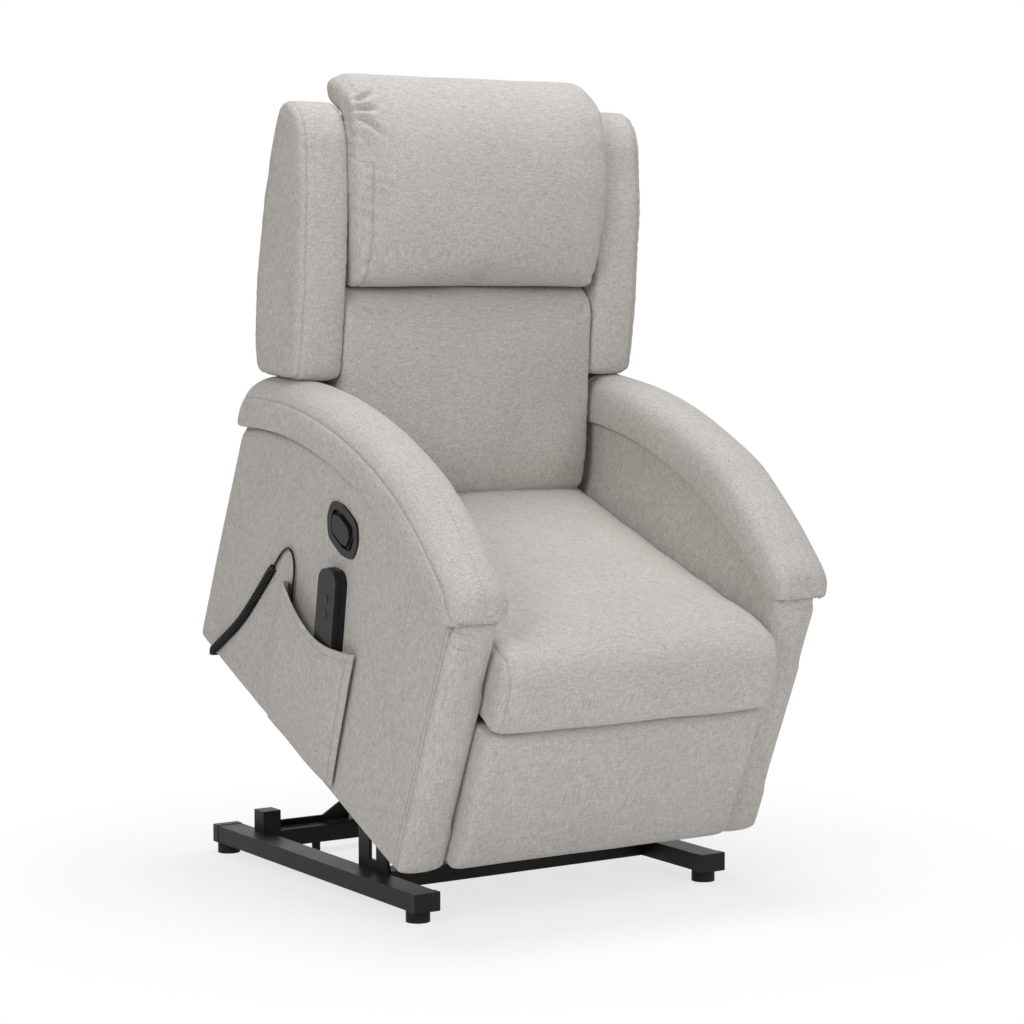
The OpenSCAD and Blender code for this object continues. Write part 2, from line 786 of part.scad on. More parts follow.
// Arm pad swept along the arch: its section as shares of the width and of the height, from the
// outer lower corner round the inner side and over the crown
pad_section = [
    [0.95, 0], [0.05, 0], [0, 0.09], [0.01, 0.50], [0.08, 0.76], [0.22, 0.93], [0.40, 1],
    [0.60, 0.97], [0.78, 0.85], [0.91, 0.65], [0.98, 0.38], [1, 0.10]
];
pad_front = asin((30 - arch_mid) / arch_r);
pad_back = asin((panel_len - 8 - arch_mid) / arch_r);
pad_nose = 24;      // rounding of the pad's front end
pad_tail = 14;      // rounding of its rear end
pad_slim = 0.022;   // share of its height that the pad loses per degree towards its nose
function pad_ring(bearing, cut) = let (
    x0 = panel_in - pad_in + 0.4 * cut,
    x1 = panel_out + pad_out - 0.4 * cut,
    slim = 1 - pad_slim * max(0, -8 - bearing)
) [
    for (s = pad_section) let (
        low = 0.25 * cut,
        r = arch_r + seat_gap + low + s[1] * (pad_h * slim - 0.8 * cut - low),
        b = bearing - (bearing > 20 ? 1.8 * s[1] : 0)
    ) [x0 + (x1 - x0) * s[0], arch_centre[0] + r * sin(b), arch_centre[1] + r * cos(b)]
];
module arm_pad() {
    steps = 26;
    t0 = pad_nose / arch_r * 180 / PI;
    t1 = pad_tail / arch_r * 180 / PI;
    color("#bab6b2") on_chair() skin(concat(
        [for (a = [0, 30, 60]) pad_ring(pad_front + t0 * (1 - cos(a)), pad_nose * (1 - sin(a)))],
        [for (i = [0:steps]) pad_ring(pad_front + t0 + (pad_back - pad_front - t0 - t1) * i / steps, 0)],
        [for (a = [60, 30, 0]) pad_ring(pad_back - t1 * (1 - cos(a)), pad_tail * (1 - sin(a)))]
    ));
}

module arm_pad_left() {
    arm_pad();
}

module arm_pad_right() {
    right_side() arm_pad();
}

// ---------------------------------------------------------------- seat

// Four boards laid on the cross tubes; the front one is notched for the opened footrest links
board_room = 2;     // between a chassis plate and the side board
seat_frame_out = chassis_out + board_room + board_t;
frame_front = board_u + foot_board_t + 2;
frame_back = rear_cross_u + cross_w;
module seat_frame() {
    notch_top = foot_pivot[1] + 20;
    side = 3;
    color("#c9a878") on_chair() difference() {
        block(-seat_frame_out, seat_frame_out, frame_front, frame_back, frame_v, frame_v + seat_frame_h);
        block(-seat_frame_out + board_t, seat_frame_out - board_t, frame_front + board_t,
            frame_back - board_t, frame_v - 1, frame_v + seat_frame_h + 1);
        both_sides() block(foot_b_in - side, foot_a_out + side, frame_front - 1,
            frame_front + board_t + 1, frame_v - 1, notch_top);
    }
}

// Zigzag spring wires from the front board to the rear board
module seat_springs() {
    count = 5;
    side_room = 67;     // from a side board to the outer wire
    pitch = 2 * (seat_frame_out - board_t - side_room) / (count - 1);
    wave = 24;
    bends = 14;
    u0 = frame_front + board_t / 2;
    step = (frame_back - board_t / 2 - u0) / bends;
    color("#5b5b5d") on_chair() for (i = [0:count - 1]) {
        x = (i - (count - 1) / 2) * pitch;
        cord([
            for (k = [0:bends]) [
                x + (k == 0 || k == bends ? 0 : (k % 2 == 0 ? -wave : wave)),
                u0 + k * step,
                frame_v + seat_frame_h + spring_d / 2 + seat_gap
            ]
        ], spring_d, 6);
    }
}

function seat_profile() = rounded([
    [seat_front + 20, seat_v], [seat_back, seat_v], [seat_back - 6, seat_v + seat_rear_h],
    [seat_front + 66, seat_v + seat_front_h], [seat_front + 20, seat_v + seat_front_h - 8],
    [seat_front, seat_v + seat_front_h - 40], [seat_front, seat_v + 34]
], 12);
module seat_cushion() {
    color("#bcb8b4") on_chair() cushion(seat_profile(), -seat_w / 2, seat_w / 2, 22);
}

// ---------------------------------------------------------------- footrest

module footrest_rear_links() {
    eye = 28;
    w = 24;
    color("#303032") on_chair() {
        both_sides() plate(foot_a_in, foot_link_t) difference() {
            link(foot_pivot, foot_knee, eye, w);
            translate(foot_pivot) circle(d = guide_pin_d + pin_fit);
            translate(foot_knee) circle(d = guide_pin_d + tiny);
        }
        both_sides() {
            bar(foot_b_in - cap_t, foot_a_out - foot_b_in + cap_t, guide_pin_d - pin_fit, foot_knee);
            bar(foot_b_in - cap_t, cap_t, guide_pin_d + 7, foot_knee);
        }
        tube_x(-foot_a_in, 2 * foot_a_in, 25, 2, foot_pivot);
    }
}

module footrest_front_links() {
    eye = 28;
    w = 24;
    color("#303032") on_chair() both_sides() plate(foot_b_in, foot_link_t) difference() {
        link(foot_knee, foot_end, eye, w);
        translate(foot_knee) circle(d = guide_pin_d + pin_fit);
        translate(foot_end) circle(d = guide_pin_d + pin_fit);
    }
}

// Plywood behind the pad, with a steel ear and pin for each link
module footrest_board() {
    ear_out = foot_b_in - gap;
    color("#c9a878") on_chair() {
        block(-foot_w / 2 + 12, foot_w / 2 - 12, board_u, board_u + foot_board_t,
            foot_v + 12, foot_v + foot_panel_h - 12);
        both_sides() {
            plate(ear_out - 4, 4) {
                translate(foot_end) circle(d = 26);
                translate([board_u + foot_board_t - tiny, foot_end[1] - 50])
                    square([foot_end[0] - board_u - foot_board_t, 63]);
            }
            bar(ear_out - 4, foot_b_out - ear_out + 4.5, guide_pin_d - pin_fit, foot_end);
        }
    }
}

module footrest_panel() {
    u0 = foot_face;
    u1 = foot_face + foot_pad;
    v1 = foot_v + foot_panel_h;
    color("#bab6b2") on_chair() cushion(rounded([
        [u1, foot_v], [u1, v1], [u0 + 12, v1], [u0, v1 - 60], [u0, foot_v + 60], [u0 + 10, foot_v]
    ], 8), -foot_w / 2, foot_w / 2, 10);
}

// ---------------------------------------------------------------- back

hinge_d = 12;
hinge_plate_t = 4;
hinge_in = panel_in - hinge_plate_t - gap - 4;
// Steel plates on the arms' inner faces that carry the back hinge
module back_hinge_plates() {
    plate_x = panel_in - hinge_plate_t;
    color("#303032") on_chair() both_sides() plate(plate_x, hinge_plate_t - tiny) difference() {
        union() {
            translate([back_pivot[0] - 30, back_pivot[1] - 84]) square([60, 84]);
            translate(back_pivot) circle(d = 60);
        }
        translate(back_pivot) circle(d = hinge_d + tiny);
    }
}

// Lines of the back, in Y and Z
back_front = [[650, 350], [795, 925]];
back_lean = (back_front[1][0] - back_front[0][0]) / (back_front[1][1] - back_front[0][1]);
function back_line(v) = back_front[0][0] + (v - back_front[0][1]) * back_lean;
frame_deep = 30;
back_high = 925;
wings_w = body_w - 2 * wing_set;
wing_in = panel_in - pad_in - wing_step;
bay_half = wing_in - seat_gap;      // half the room between the wings
cover_low = 300;
cover_high = 930;

// Steel plates on the back frame's posts, turning on the hinge pins
module back_brackets() {
    color("#303032") on_chair() both_sides() plate(hinge_in, 4) difference() {
        union() {
            translate(back_pivot) circle(d = 36);
            polygon([
                back_pivot + [-14, 8], back_pivot + [10, -14], [back_line(330) + 28, 330],
                [back_line(395) + 28, 395], [back_line(395) + 4, 395], [back_line(340) + 2, 340]
            ]);
        }
        translate(back_pivot) circle(d = hinge_d + pin_fit);
    }
}

// Ladder frame of the back: two posts and four rails, with blocks out to the hinge brackets
module back_frame() {
    post = 28;
    half = hinge_in - seat_gap;
    color("#c9a878") on_chair() difference() {
        union() {
            plate(-bay_half, 2 * bay_half) back_slice(310, back_high, 0, frame_deep);
            plate(-half, 2 * half) back_slice(310, 397, 0, frame_deep);
        }
        for (v = [[345, 480], [515, 690], [725, 890]])
            plate(-bay_half + post, 2 * (bay_half - post)) back_slice(v[0], v[1], -40, 80);
    }
}

// Slanted strip along the line of the back, from height v0 to v1 and from depth d0 to d1
module back_slice(v0, v1, d0, d1) {
    polygon([
        [back_line(v0) + d0, v0], [back_line(v0) + d1, v0], [back_line(v1) + d1, v1],
        [back_line(v1) + d0, v1]
    ]);
}

// Zigzag spring wires across the open bays, behind the cushions
module back_springs() {
    bends = 12;
    wave = 20;
    color("#5b5b5d") on_chair() for (v = [372, 428, 560, 640, 770, 845]) {
        half = bay_half - 6;
        cord([
            for (k = [0:bends]) let (w = v + (k == 0 || k == bends ? 0 : (k % 2 == 0 ? -wave : wave))) [
                -half + 2 * half * k / bends,
                back_line(w) - spring_d / 2 - seat_gap - 0.2,
                w
            ]
        ], spring_d, 6);
    }
}

function behind(v) = back_line(v) - spring_d - 1;
lower_back_low = 347;
lower_back_high = 676;
lower_back_face = [
    [690, lower_back_high], [654, 650], [626, 575], [590, 480], [558, 400], [562, 366],
    [600, lower_back_low]
];
module lower_back_cushion() {
    half = wing_in - back_room;
    color("#bcb8b4") on_chair() cushion(rounded(concat([
        [behind(lower_back_low), lower_back_low], [behind(lower_back_high), lower_back_high]
    ], lower_back_face), 12), -half, half, 22);
}

headrest_low = 684;
headrest_high = 905;
headrest_face = [[786, 981], [744, 940], [712, 880], [684, 805], [668, 738], [672, 702], [692, 686]];
headrest_top = [[864, cover_high + 28], [881, 978], [862, 996], [826, 997]];
module headrest_cushion() {
    half = wing_in - head_room;
    color("#bcb8b4") on_chair() cushion(rounded(concat(headrest_face, [
        [behind(headrest_low), headrest_low], [behind(headrest_high), headrest_high],
        [back_line(headrest_high) + 4, cover_high + 26]
    ], headrest_top), 12), -half, half, 24);
}

// Padded wing beside the cushions
wing_outline = [
    [758, 501], [785, 541], [817, 629], [849, 766], [862, 880], [860, 930], [838, 950], [800, 944],
    [770, 918], [721, 820], [667, 672], [632, 547]
];
module back_wing() {
    color("#bab6b2") on_chair() cushion(rounded(wing_outline, 9), wing_in, wings_w / 2, 20);
}

module back_wing_left() {
    back_wing();
}

module back_wing_right() {
    right_side() back_wing();
}

// Outer back panel between the wings, turned in at the top: how far it stands off at each height
cover_swell = [[420, 26], [560, 32], [760, 30], [880, 24], [cover_high, 14]];
module back_cover() {
    skin_at = function (v) back_line(v) + frame_deep + seat_gap;
    color("#b4b0ac") on_chair() plate(-bay_half, 2 * bay_half) polygon(concat(
        [[skin_at(cover_low), cover_low], [skin_at(cover_low) + back_skin, cover_low]],
        [for (s = cover_swell) [skin_at(s[0]) + s[1], s[0]]],
        [[skin_at(cover_high), cover_high]]
    ));
}

// ---------------------------------------------------------------- release handle

bezel_at = [365, 410];
bezel_lean = 8;
module lozenge(len, h, lean) {
    rotate(lean) polygon(rounded([
        [-len / 2, -h * 0.30], [-len * 0.18, -h / 2], [len * 0.30, -h / 2], [len / 2, -h * 0.12],
        [len / 2, h * 0.30], [len * 0.18, h / 2], [-len * 0.30, h / 2], [-len / 2, h * 0.12]
    ], h * 0.15));
}

module release_bezel() {
    color("#1d1e20") on_chair() plate(-panel_out - bezel_t, bezel_t) difference() {
        translate(bezel_at) lozenge(bezel_len, bezel_h, bezel_lean);
        translate(bezel_at) lozenge(bezel_len - 26, bezel_h - 24, bezel_lean);
    }
}

// Pull flap in the bezel, with the pin that it turns on along its front edge
module release_handle() {
    flap_t = 9;
    flap_len = bezel_len - 42;
    flap_h = bezel_h - 38;
    pin_d = 4.4;
    pin_off = seat_gap + 2.5;
    pin_u = 2.5 - flap_len / 2;
    color("#151617") on_chair() {
        plate(-panel_out - seat_gap - flap_t, flap_t) intersection() {
            translate(bezel_at) lozenge(flap_len, flap_h, bezel_lean);
            translate(bezel_at) rotate(bezel_lean) translate([pin_u, -flap_h]) square([flap_len, 2 * flap_h]);
        }
        translate([-panel_out - pin_off, bezel_at[0], bezel_at[1]]) rotate([bezel_lean, 0, 0])
            translate([0, pin_u, -flap_h / 2]) cylinder(h = flap_h * 0.92, d = pin_d);
    }
}

// ---------------------------------------------------------------- pocket, handset, cord

// Fabric pouch on the right panel, open along its top edge
module side_pocket() {
    out = panel_out + pocket_deep;
    top = pocket_v + pocket_h;
    shape = [
        [panel_out, pocket_v], [panel_out + 6, pocket_v], [out + pocket_wall, pocket_v + 60],
        [out + pocket_wall, top], [out, top], [out, pocket_v + 61], [panel_out + 6, pocket_v + 4],
        [panel_out, pocket_v + 4]
    ];
    closed = [
        [panel_out, pocket_v], [panel_out + 6, pocket_v], [out + pocket_wall, pocket_v + 60],
        [out + pocket_wall, top], [panel_out, top]
    ];
    color("#b4b0ac") on_chair() right_side() {
        translate([0, pocket_u + pocket_w, 0]) rotate([90, 0, 0]) linear_extrude(pocket_w) polygon(shape);
        for (u = [pocket_u, pocket_u + pocket_w - pocket_wall])
            translate([0, u + pocket_wall, 0]) rotate([90, 0, 0]) linear_extrude(pocket_wall) polygon(closed);
    }
}

// Handset in its own frame: length along +Z from its lower end, back face towards the panel
module on_handset() {
    on_chair() translate([-panel_out - seat_gap, handset_at[0], handset_at[1]])
        rotate([handset_lean, 0, 0]) children();
}

function handset_outline(d) = rounded([
    [-handset_w / 2 + d + 8, d], [handset_w / 2 - d - 8, d], [handset_w / 2 - d, 40],
    [handset_w / 2 - d, handset_len - 14], [handset_w / 2 - d - 12, handset_len - d],
    [-handset_w / 2 + d + 12, handset_len - d], [-handset_w / 2 + d, handset_len - 14],
    [-handset_w / 2 + d, 40]
], 7);
case_t = handset_t * 0.6;
module handset_case() {
    color("#2a2b2e") on_handset() difference() {
        plate(-case_t, case_t) polygon(handset_outline(0));
        plate(-case_t - 1, case_t - 1.5) polygon(handset_outline(2));
    }
}

button_at = [[0, 138], [0, 114]];
button_well = 4.2;
module handset_face() {
    face_t = handset_t - case_t - seat_gap;
    color("#232427") on_handset() difference() {
        plate(-handset_t, face_t) polygon(handset_outline(1));
        for (p = button_at) bar(-handset_t - 1, button_well + 1, button_d, p);
    }
}

module button(p) {
    proud = 0.8;
    on_handset() bar(-handset_t - proud, button_well + proud - button_travel - seat_gap, button_d - 0.8, p);
}

module raise_button() {
    color("#4a4c50") button(button_at[0]);
}

module lower_button() {
    color("#4a4c50") button(button_at[1]);
}

module handset_cord_lead() {
    color("#17181a") on_chair() cord(lead_route, cord_d, 8);
}

module handset_cord_curl() {
    color("#17181a") on_chair() cord(curl_route, curl_d, 10);
}

module handset_cord_tail() {
    color("#17181a") on_chair() cord(tail_route, cord_d, 8);
}

// Clip under the right arm that the handset's lead comes out of
module cord_clip() {
    color("#1b1c1e") on_chair() block(clip_x + seat_gap, clip_x + 20, 678, 698, -16, -0.8);
}

// Control box under the seat, with the mains inlet on its front face
box_u = 560;
box_w = 130;
box_v = cross_v - 34;
module control_box() {
    color("#1b1c1e") on_chair()
        block(-box_w - 34, -34, box_u, rear_cross_u - seat_gap, box_v, cross_v + 20);
}

module power_inlet() {
    lip = 4;
    color("#101113") on_chair() difference() {
        block(-box_w - 10, -box_w + 18, box_u - 8, box_u - seat_gap, box_v + 10, box_v + 30);
        block(-box_w - 10 + lip, -box_w + 18 - lip, box_u - 9, box_u - 3, box_v + 10 + lip, box_v + 30 - lip);
    }
}

base_rail_right();
base_rail_left();
front_crossbar();
rear_crossbar();
pivot_upright_right();
pivot_upright_left();
rail_end_caps();
levelling_feet();
crossbar_glides();
rest_stops();
actuator_bracket();
base_screws();
base_pivot_pins();
lift_arm_right();
lift_arm_left();
arm_cross_tube();
guide_links();
actuator_tube();
actuator_motor();
actuator_rod();
rod_end();
chassis_plate_right();
chassis_plate_left();
chassis_cross_tubes();
chassis_pins();
arm_frame_right();
arm_frame_left();
side_panel_right();
side_panel_left();
arm_pad_right();
arm_pad_left();
seat_frame();
seat_springs();
seat_cushion();
back_hinge_plates();
release_bezel();
release_handle();
side_pocket();
control_box();
power_inlet();
cord_clip();
handset_cord_lead();
handset_cord_curl();
handset_cord_tail();
handset_case();
handset_face();
raise_button();
lower_button();
footrest_rear_links();
footrest_front_links();
footrest_board();
footrest_panel();
back_frame();
back_springs();
lower_back_cushion();
headrest_cushion();
back_wing_right();
back_wing_left();
back_cover();
back_brackets();
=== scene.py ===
import bpy, bmesh, json
import numpy as np
from math import radians, sin, cos, pi, sqrt, asin, copysign
from mathutils import Vector, Matrix, noise
from mathutils.bvhtree import BVHTree


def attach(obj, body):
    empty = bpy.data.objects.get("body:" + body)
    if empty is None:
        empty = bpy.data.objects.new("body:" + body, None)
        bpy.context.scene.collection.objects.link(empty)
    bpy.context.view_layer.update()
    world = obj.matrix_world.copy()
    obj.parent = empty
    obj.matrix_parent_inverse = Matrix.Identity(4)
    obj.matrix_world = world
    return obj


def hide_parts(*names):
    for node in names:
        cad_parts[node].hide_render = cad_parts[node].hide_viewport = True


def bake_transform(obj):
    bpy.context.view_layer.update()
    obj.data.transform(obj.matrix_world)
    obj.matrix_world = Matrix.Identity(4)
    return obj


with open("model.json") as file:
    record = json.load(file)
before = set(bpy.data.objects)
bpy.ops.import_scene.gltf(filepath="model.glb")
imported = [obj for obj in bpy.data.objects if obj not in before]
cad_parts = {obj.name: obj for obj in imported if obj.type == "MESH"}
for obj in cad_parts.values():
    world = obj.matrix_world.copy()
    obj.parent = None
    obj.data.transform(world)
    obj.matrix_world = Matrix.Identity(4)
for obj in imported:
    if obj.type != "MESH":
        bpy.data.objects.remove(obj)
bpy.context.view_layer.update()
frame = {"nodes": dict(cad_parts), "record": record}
scene = bpy.context.scene

# The chair is built level and then put on its tilt: x across, u rearwards, v up, in metres
chairTilt = radians(24.2)
chairToRow = Matrix.Translation((0, -0.273, 0.0907)) @ Matrix.Rotation(chairTilt, 4, "X")
panelOut = 0.3485       # outer face of an arm
panelIn = 0.265         # its inner face
archCentre = (0.360, -0.315)    # the arms' upper edge is an arc
archRadius = 0.812
backFoot = (0.650, 0.350)       # front face of the back frame, and how far it leans back per metre up
backLean = 0.25217
handleMiddle = (0.365, 0.410)   # the release handle on the right arm

# ---- camera

camera = {"lens": 99.30, "place": (-2.5415, -3.9702, 1.0116), "target": (0, -0.0538, 0.6232)}


def placeCamera(settings):
    data = bpy.data.cameras.new("camera")
    data.lens = settings["lens"]
    data.sensor_width = 36
    data.clip_end = 60
    eye = bpy.data.objects.new("camera", data)
    scene.collection.objects.link(eye)
    eye.location = settings["place"]
    aim = Vector(settings["target"]) - eye.location
    eye.rotation_euler = aim.to_track_quat("-Z", "Y").to_euler()
    scene.camera = eye


placeCamera(camera)

# ---- mesh helpers


def backLine(v):
    return backFoot[0] + (v - backFoot[1]) * backLean


def toPiece(name, bm, tilted=True, smooth=True):
    if tilted:
        bmesh.ops.transform(bm, matrix=chairToRow, verts=bm.verts)
    mesh = bpy.data.meshes.new(name)
    bm.to_mesh(mesh)
    bm.free()
    mesh.polygons.foreach_set("use_smooth", [smooth] * len(mesh.polygons))
    piece = bpy.data.objects.new(name, mesh)
    scene.collection.objects.link(piece)
    return piece


def loft(rings, closed=True, capped=True):
    # the first ring is drawn and then extruded from ring to ring; each vertex remembers its corner
    bm = bmesh.new()
    corner = bm.verts.layers.int.new("corner")
    verts = [bm.verts.new(p) for p in rings[0]]
    for i, v in enumerate(verts):
        v[corner] = i
    count = len(verts)
    edges = [bm.edges.new((verts[i], verts[(i + 1) % count])) for i in range(count if closed else count - 1)]
    if capped:
        bm.faces.new(verts)
    for ring in rings[1:]:
        grown = bmesh.ops.extrude_edge_only(bm, edges=edges)["geom"]
        verts = [g for g in grown if isinstance(g, bmesh.types.BMVert)]
        fresh = set(verts)
        edges = [g for g in grown if isinstance(g, bmesh.types.BMEdge) and fresh.issuperset(g.verts)]
        for v in verts:
            v.co = ring[v[corner]]
    if capped:
        verts.sort(key=lambda v: v[corner])
        bm.faces.new(verts)
    bmesh.ops.recalc_face_normals(bm, faces=bm.faces)
    return bm


def slab(outline, x0, x1):
    # a side outline in u and v, pulled across from x0 to x1
    bm = bmesh.new()
    side = bm.faces.new([bm.verts.new((x0, u, v)) for u, v in outline])
    grown = bmesh.ops.extrude_face_region(bm, geom=[side])["geom"]
    moved = [g for g in grown if isinstance(g, bmesh.types.BMVert)]
    bmesh.ops.translate(bm, verts=moved, vec=(x1 - x0, 0, 0))
    bmesh.ops.recalc_face_normals(bm, faces=bm.faces)
    return bm


def spline(points, count, closed=False):
    # evenly spaced points on a smooth line through the given ones
    pts = [Vector(p) for p in points]
    last = len(pts)
    spans = last if closed else last - 1
    dense = []
    for i in range(spans):
        if closed:
            a, b, c, d = (pts[(i + k) % last] for k in (-1, 0, 1, 2))
        else:
            a, b, c, d = pts[max(i - 1, 0)], pts[i], pts[i + 1], pts[min(i + 2, last - 1)]
        for k in range(24):
            t = k / 24
            dense.append(0.5 * (2 * b + (c - a) * t + (2 * a - 5 * b + 4 * c - d) * t * t
                                + (3 * b - a - 3 * c + d) * t ** 3))
    dense.append(pts[0] if closed else pts[-1])
    far = [0.0]
    for p, q in zip(dense, dense[1:]):
        far.append(far[-1] + (q - p).length)
    steps = count if closed else count - 1
    out, k = [], 0
    for i in range(count):
        want = far[-1] * i / steps
        while k < len(far) - 2 and far[k + 1] < want:
            k += 1
        share = (want - far[k]) / max(far[k + 1] - far[k], 1e-9)
        out.append(dense[k].lerp(dense[k + 1], min(max(share, 0), 1)))
    return out


def lengthOf(points):
    return sum((b - a).length for a, b in zip(points, points[1:]))


def rounded(points, r):
    # outline with each corner cut back by r and curved
    out = []
    n = len(points)
    for i in range(n):
        a, p, b = Vector(points[i - 1]), Vector(points[i]), Vector(points[(i + 1) % n])
        s = p + (a - p).normalized() * min(r, (a - p).length * 0.45)
        e = p + (b - p).normalized() * min(r, (b - p).length * 0.45)
        out += [s, s * 0.5625 + p * 0.375 + e * 0.0625, s / 4 + p / 2 + e / 4,
                s * 0.0625 + p * 0.375 + e * 0.5625, e]
    return [tuple(p) for p in out]


def workObject(bm):
    mesh = bpy.data.meshes.new("work")
    bm.to_mesh(mesh)
    bm.free()
    work = bpy.data.objects.new("work", mesh)
    scene.collection.objects.link(work)
    return work


def worked(work):
    # the mesh after its modifiers
    return bpy.data.meshes.new_from_object(work.evaluated_get(bpy.context.evaluated_depsgraph_get()))


def modified(bm, kind, values):
    work = workObject(bm)
    step = work.modifiers.new(kind, kind)
    for key, value in values.items():
        setattr(step, key, value)
    done = worked(work)
    bpy.data.objects.remove(work)
    out = bmesh.new()
    out.from_mesh(done)
    return out


def remeshed(bm, voxel):
    return modified(bm, "REMESH", {"mode": "VOXEL", "voxel_size": voxel})


def subdivided(bm):
    return modified(bm, "SUBSURF", {"levels": 1, "render_levels": 1})


def mirrored(bm):
    bmesh.ops.scale(bm, verts=bm.verts, vec=(-1, 1, 1))
    bmesh.ops.reverse_faces(bm, faces=bm.faces)
    return bm


def soften(bm, passes):
    for k in range(passes):
        bmesh.ops.smooth_vert(bm, verts=bm.verts, factor=0.5,
                              use_axis_x=True, use_axis_y=True, use_axis_z=True)
    return bm


def padding(settings, outline, x0, x1):
    # an even mesh with its edges rounded off, ready to be shaped
    return soften(remeshed(slab(outline, x0, x1), settings["voxel"]), settings["soften"])


def ramp(value, width):
    # 0 up to a value of 0, and 1 from width on
    return np.clip(value / width, 0, 1)


def crown(share, power):
    # 1 in the middle, and nothing at -1 and 1
    return np.clip(1 - share ** 2, 0, 1) ** power


def hump(share, power):
    # nothing at 0 and 1, and most halfway
    return np.clip(np.sin(np.clip(share, 0, 1) * pi), 0, 1) ** power


def facing(normals, axis, sign):
    # 1 where the surface faces that way, and 0 where it is square to it or turned away
    return np.clip(sign * normals[:, axis], 0, 1)


swelling = {"use_pressure": True, "quality": 5, "mass": 0.3, "tension_stiffness": 15,
            "compression_stiffness": 15, "bending_stiffness": 2.0, "vertex_group_mass": "held"}
swellFrames = 20


def inflated(bm, pressure, cap, held):
    # air pressure swells the cushion where it is free; held points stay, and no point passes the cap
    before, normals = read(bm)
    keep = held(before)
    work = workObject(bm)
    pins = work.vertex_groups.new(name="held")
    pins.add([int(i) for i in np.nonzero(keep)[0]], 1.0, "REPLACE")
    swell = work.modifiers.new("Cloth", "CLOTH")
    for key, value in swelling.items():
        setattr(swell.settings, key, value)
    swell.settings.uniform_pressure_force = pressure
    swell.settings.effector_weights.gravity = 0
    swell.collision_settings.use_collision = False
    for f in range(1, swellFrames + 1):
        scene.frame_set(f)
    done = worked(work)
    scene.frame_set(1)
    after = np.empty(len(done.vertices) * 3)
    done.vertices.foreach_get("co", after)
    shift = after.reshape(-1, 3) - before
    size = np.linalg.norm(shift, axis=1)
    shift *= (np.minimum(size, cap) / np.maximum(size, 1e-9))[:, None]
    done.vertices.foreach_set("co", (before + shift).ravel())
    bpy.data.objects.remove(work)
    out = bmesh.new()
    out.from_mesh(done)
    return soften(out, 2)


def read(bm):
    bm.normal_update()
    return np.array([v.co for v in bm.verts]), np.array([v.normal for v in bm.verts])


def write(bm, points):
    for v, p in zip(bm.verts, points):
        v.co = p
    return bm


def nearLine(points, line):
    # distance of every point from a run of points, and how far along the run it lies
    line = np.array(line, float)
    best = np.full(len(points), 9.0)
    along = np.zeros(len(points))
    gone = 0.0
    for a, b in zip(line, line[1:]):
        ab = b - a
        size = np.linalg.norm(ab)
        t = np.clip((points - a) @ ab / max(size * size, 1e-12), 0, 1)
        d = np.linalg.norm(points - (a + t[:, None] * ab), axis=1)
        nearer = d < best
        best[nearer] = d[nearer]
        along[nearer] = gone + t[nearer] * size
        gone += size
    return best, along


seamScale = 20.0    # a seam layer holds 1 + seamScale * distance, so that 0 means no seam at all
seamReach = 0.045   # distances beyond this are kept as this


def sewn(bm, away, depth, width, layer="seam", only=None):
    # away is each point's signed distance from the sewn line: the surface dips along it, and the
    # distance is kept for the finish, which draws the thread line, and under the arm pads a painted shadow
    # line; only says where there is a seam
    points, normals = read(bm)
    share = 1.0 if only is None else only(points, normals)
    points -= normals * (share * depth * np.exp(-(away / width) ** 2))[:, None]
    keep = bm.verts.layers.float.new(layer)
    kept = 1 + seamScale * np.where(share > 0.5, np.clip(away, -seamReach, seamReach), -seamReach)
    for v, p, k in zip(bm.verts, points, kept):
        v.co = p
        v[keep] = k
    return bm


def gathered(bm, away, along, height, reach, pitch, seed, fade=None):
    # small gathers across a sewn line: uneven in spacing and height, fading away from it, and none
    # right on the thread
    points, normals = read(bm)
    beat = along / pitch
    wave = np.sin(beat * 2 * pi + 2.1 * np.sin(beat * 0.9 + seed) + seed)
    wave *= 0.6 + 0.4 * np.sin(beat * 0.37 + seed * 1.7)
    off = np.abs(away)
    gain = height * wave * np.exp(-(off / reach) ** 1.5) * ramp(off, 0.004)
    if fade is not None:
        gain = gain * fade(points)
    points += normals * gain[:, None]
    return write(bm, points)


crease = {"points": 16, "taper": 0.3, "lip": 0.45, "lipOff": 1.9}


def creased(bm, strokes):
    # single folds: each stroke is laid on the surface and pressed in, with a raised lip beside it
    tree = BVHTree.FromBMesh(bm)
    points, normals = read(bm)
    for line, depth, width in strokes:
        laid = [tree.find_nearest(Vector(p))[0] for p in spline(line, crease["points"])]
        d, along = nearLine(points, laid)
        whole = along.max()
        ends = np.clip(np.minimum(along, whole - along) / (crease["taper"] * whole + 1e-6), 0, 1)
        lip = crease["lip"] * np.exp(-((d - crease["lipOff"] * width) / width) ** 2)
        points -= normals * (depth * ends * np.exp(-(d / width) ** 2))[:, None]
        points += normals * (depth * ends * lip)[:, None]
    return write(bm, points)


def undulate(bm, height, size, seed):
    # the slack of real upholstery
    bm.normal_update()
    shift = Vector((seed * 3.1, seed * 1.7, seed * 2.3))
    for v in bm.verts:
        v.co += v.normal * (height * noise.noise(v.co / size + shift))
    return bm


def upholstered(name, bm, body):
    # a padded piece under the name of the node that it stands for
    bmesh.ops.recalc_face_normals(bm, faces=bm.faces)
    piece = toPiece(name, bm)
    piece.data.materials.append(cloth)
    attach(piece, body)
    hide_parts(name)
    print("made", name, len(piece.data.polygons), "faces")
    return piece


# ---- handset cord: lead, curl and tail in one length

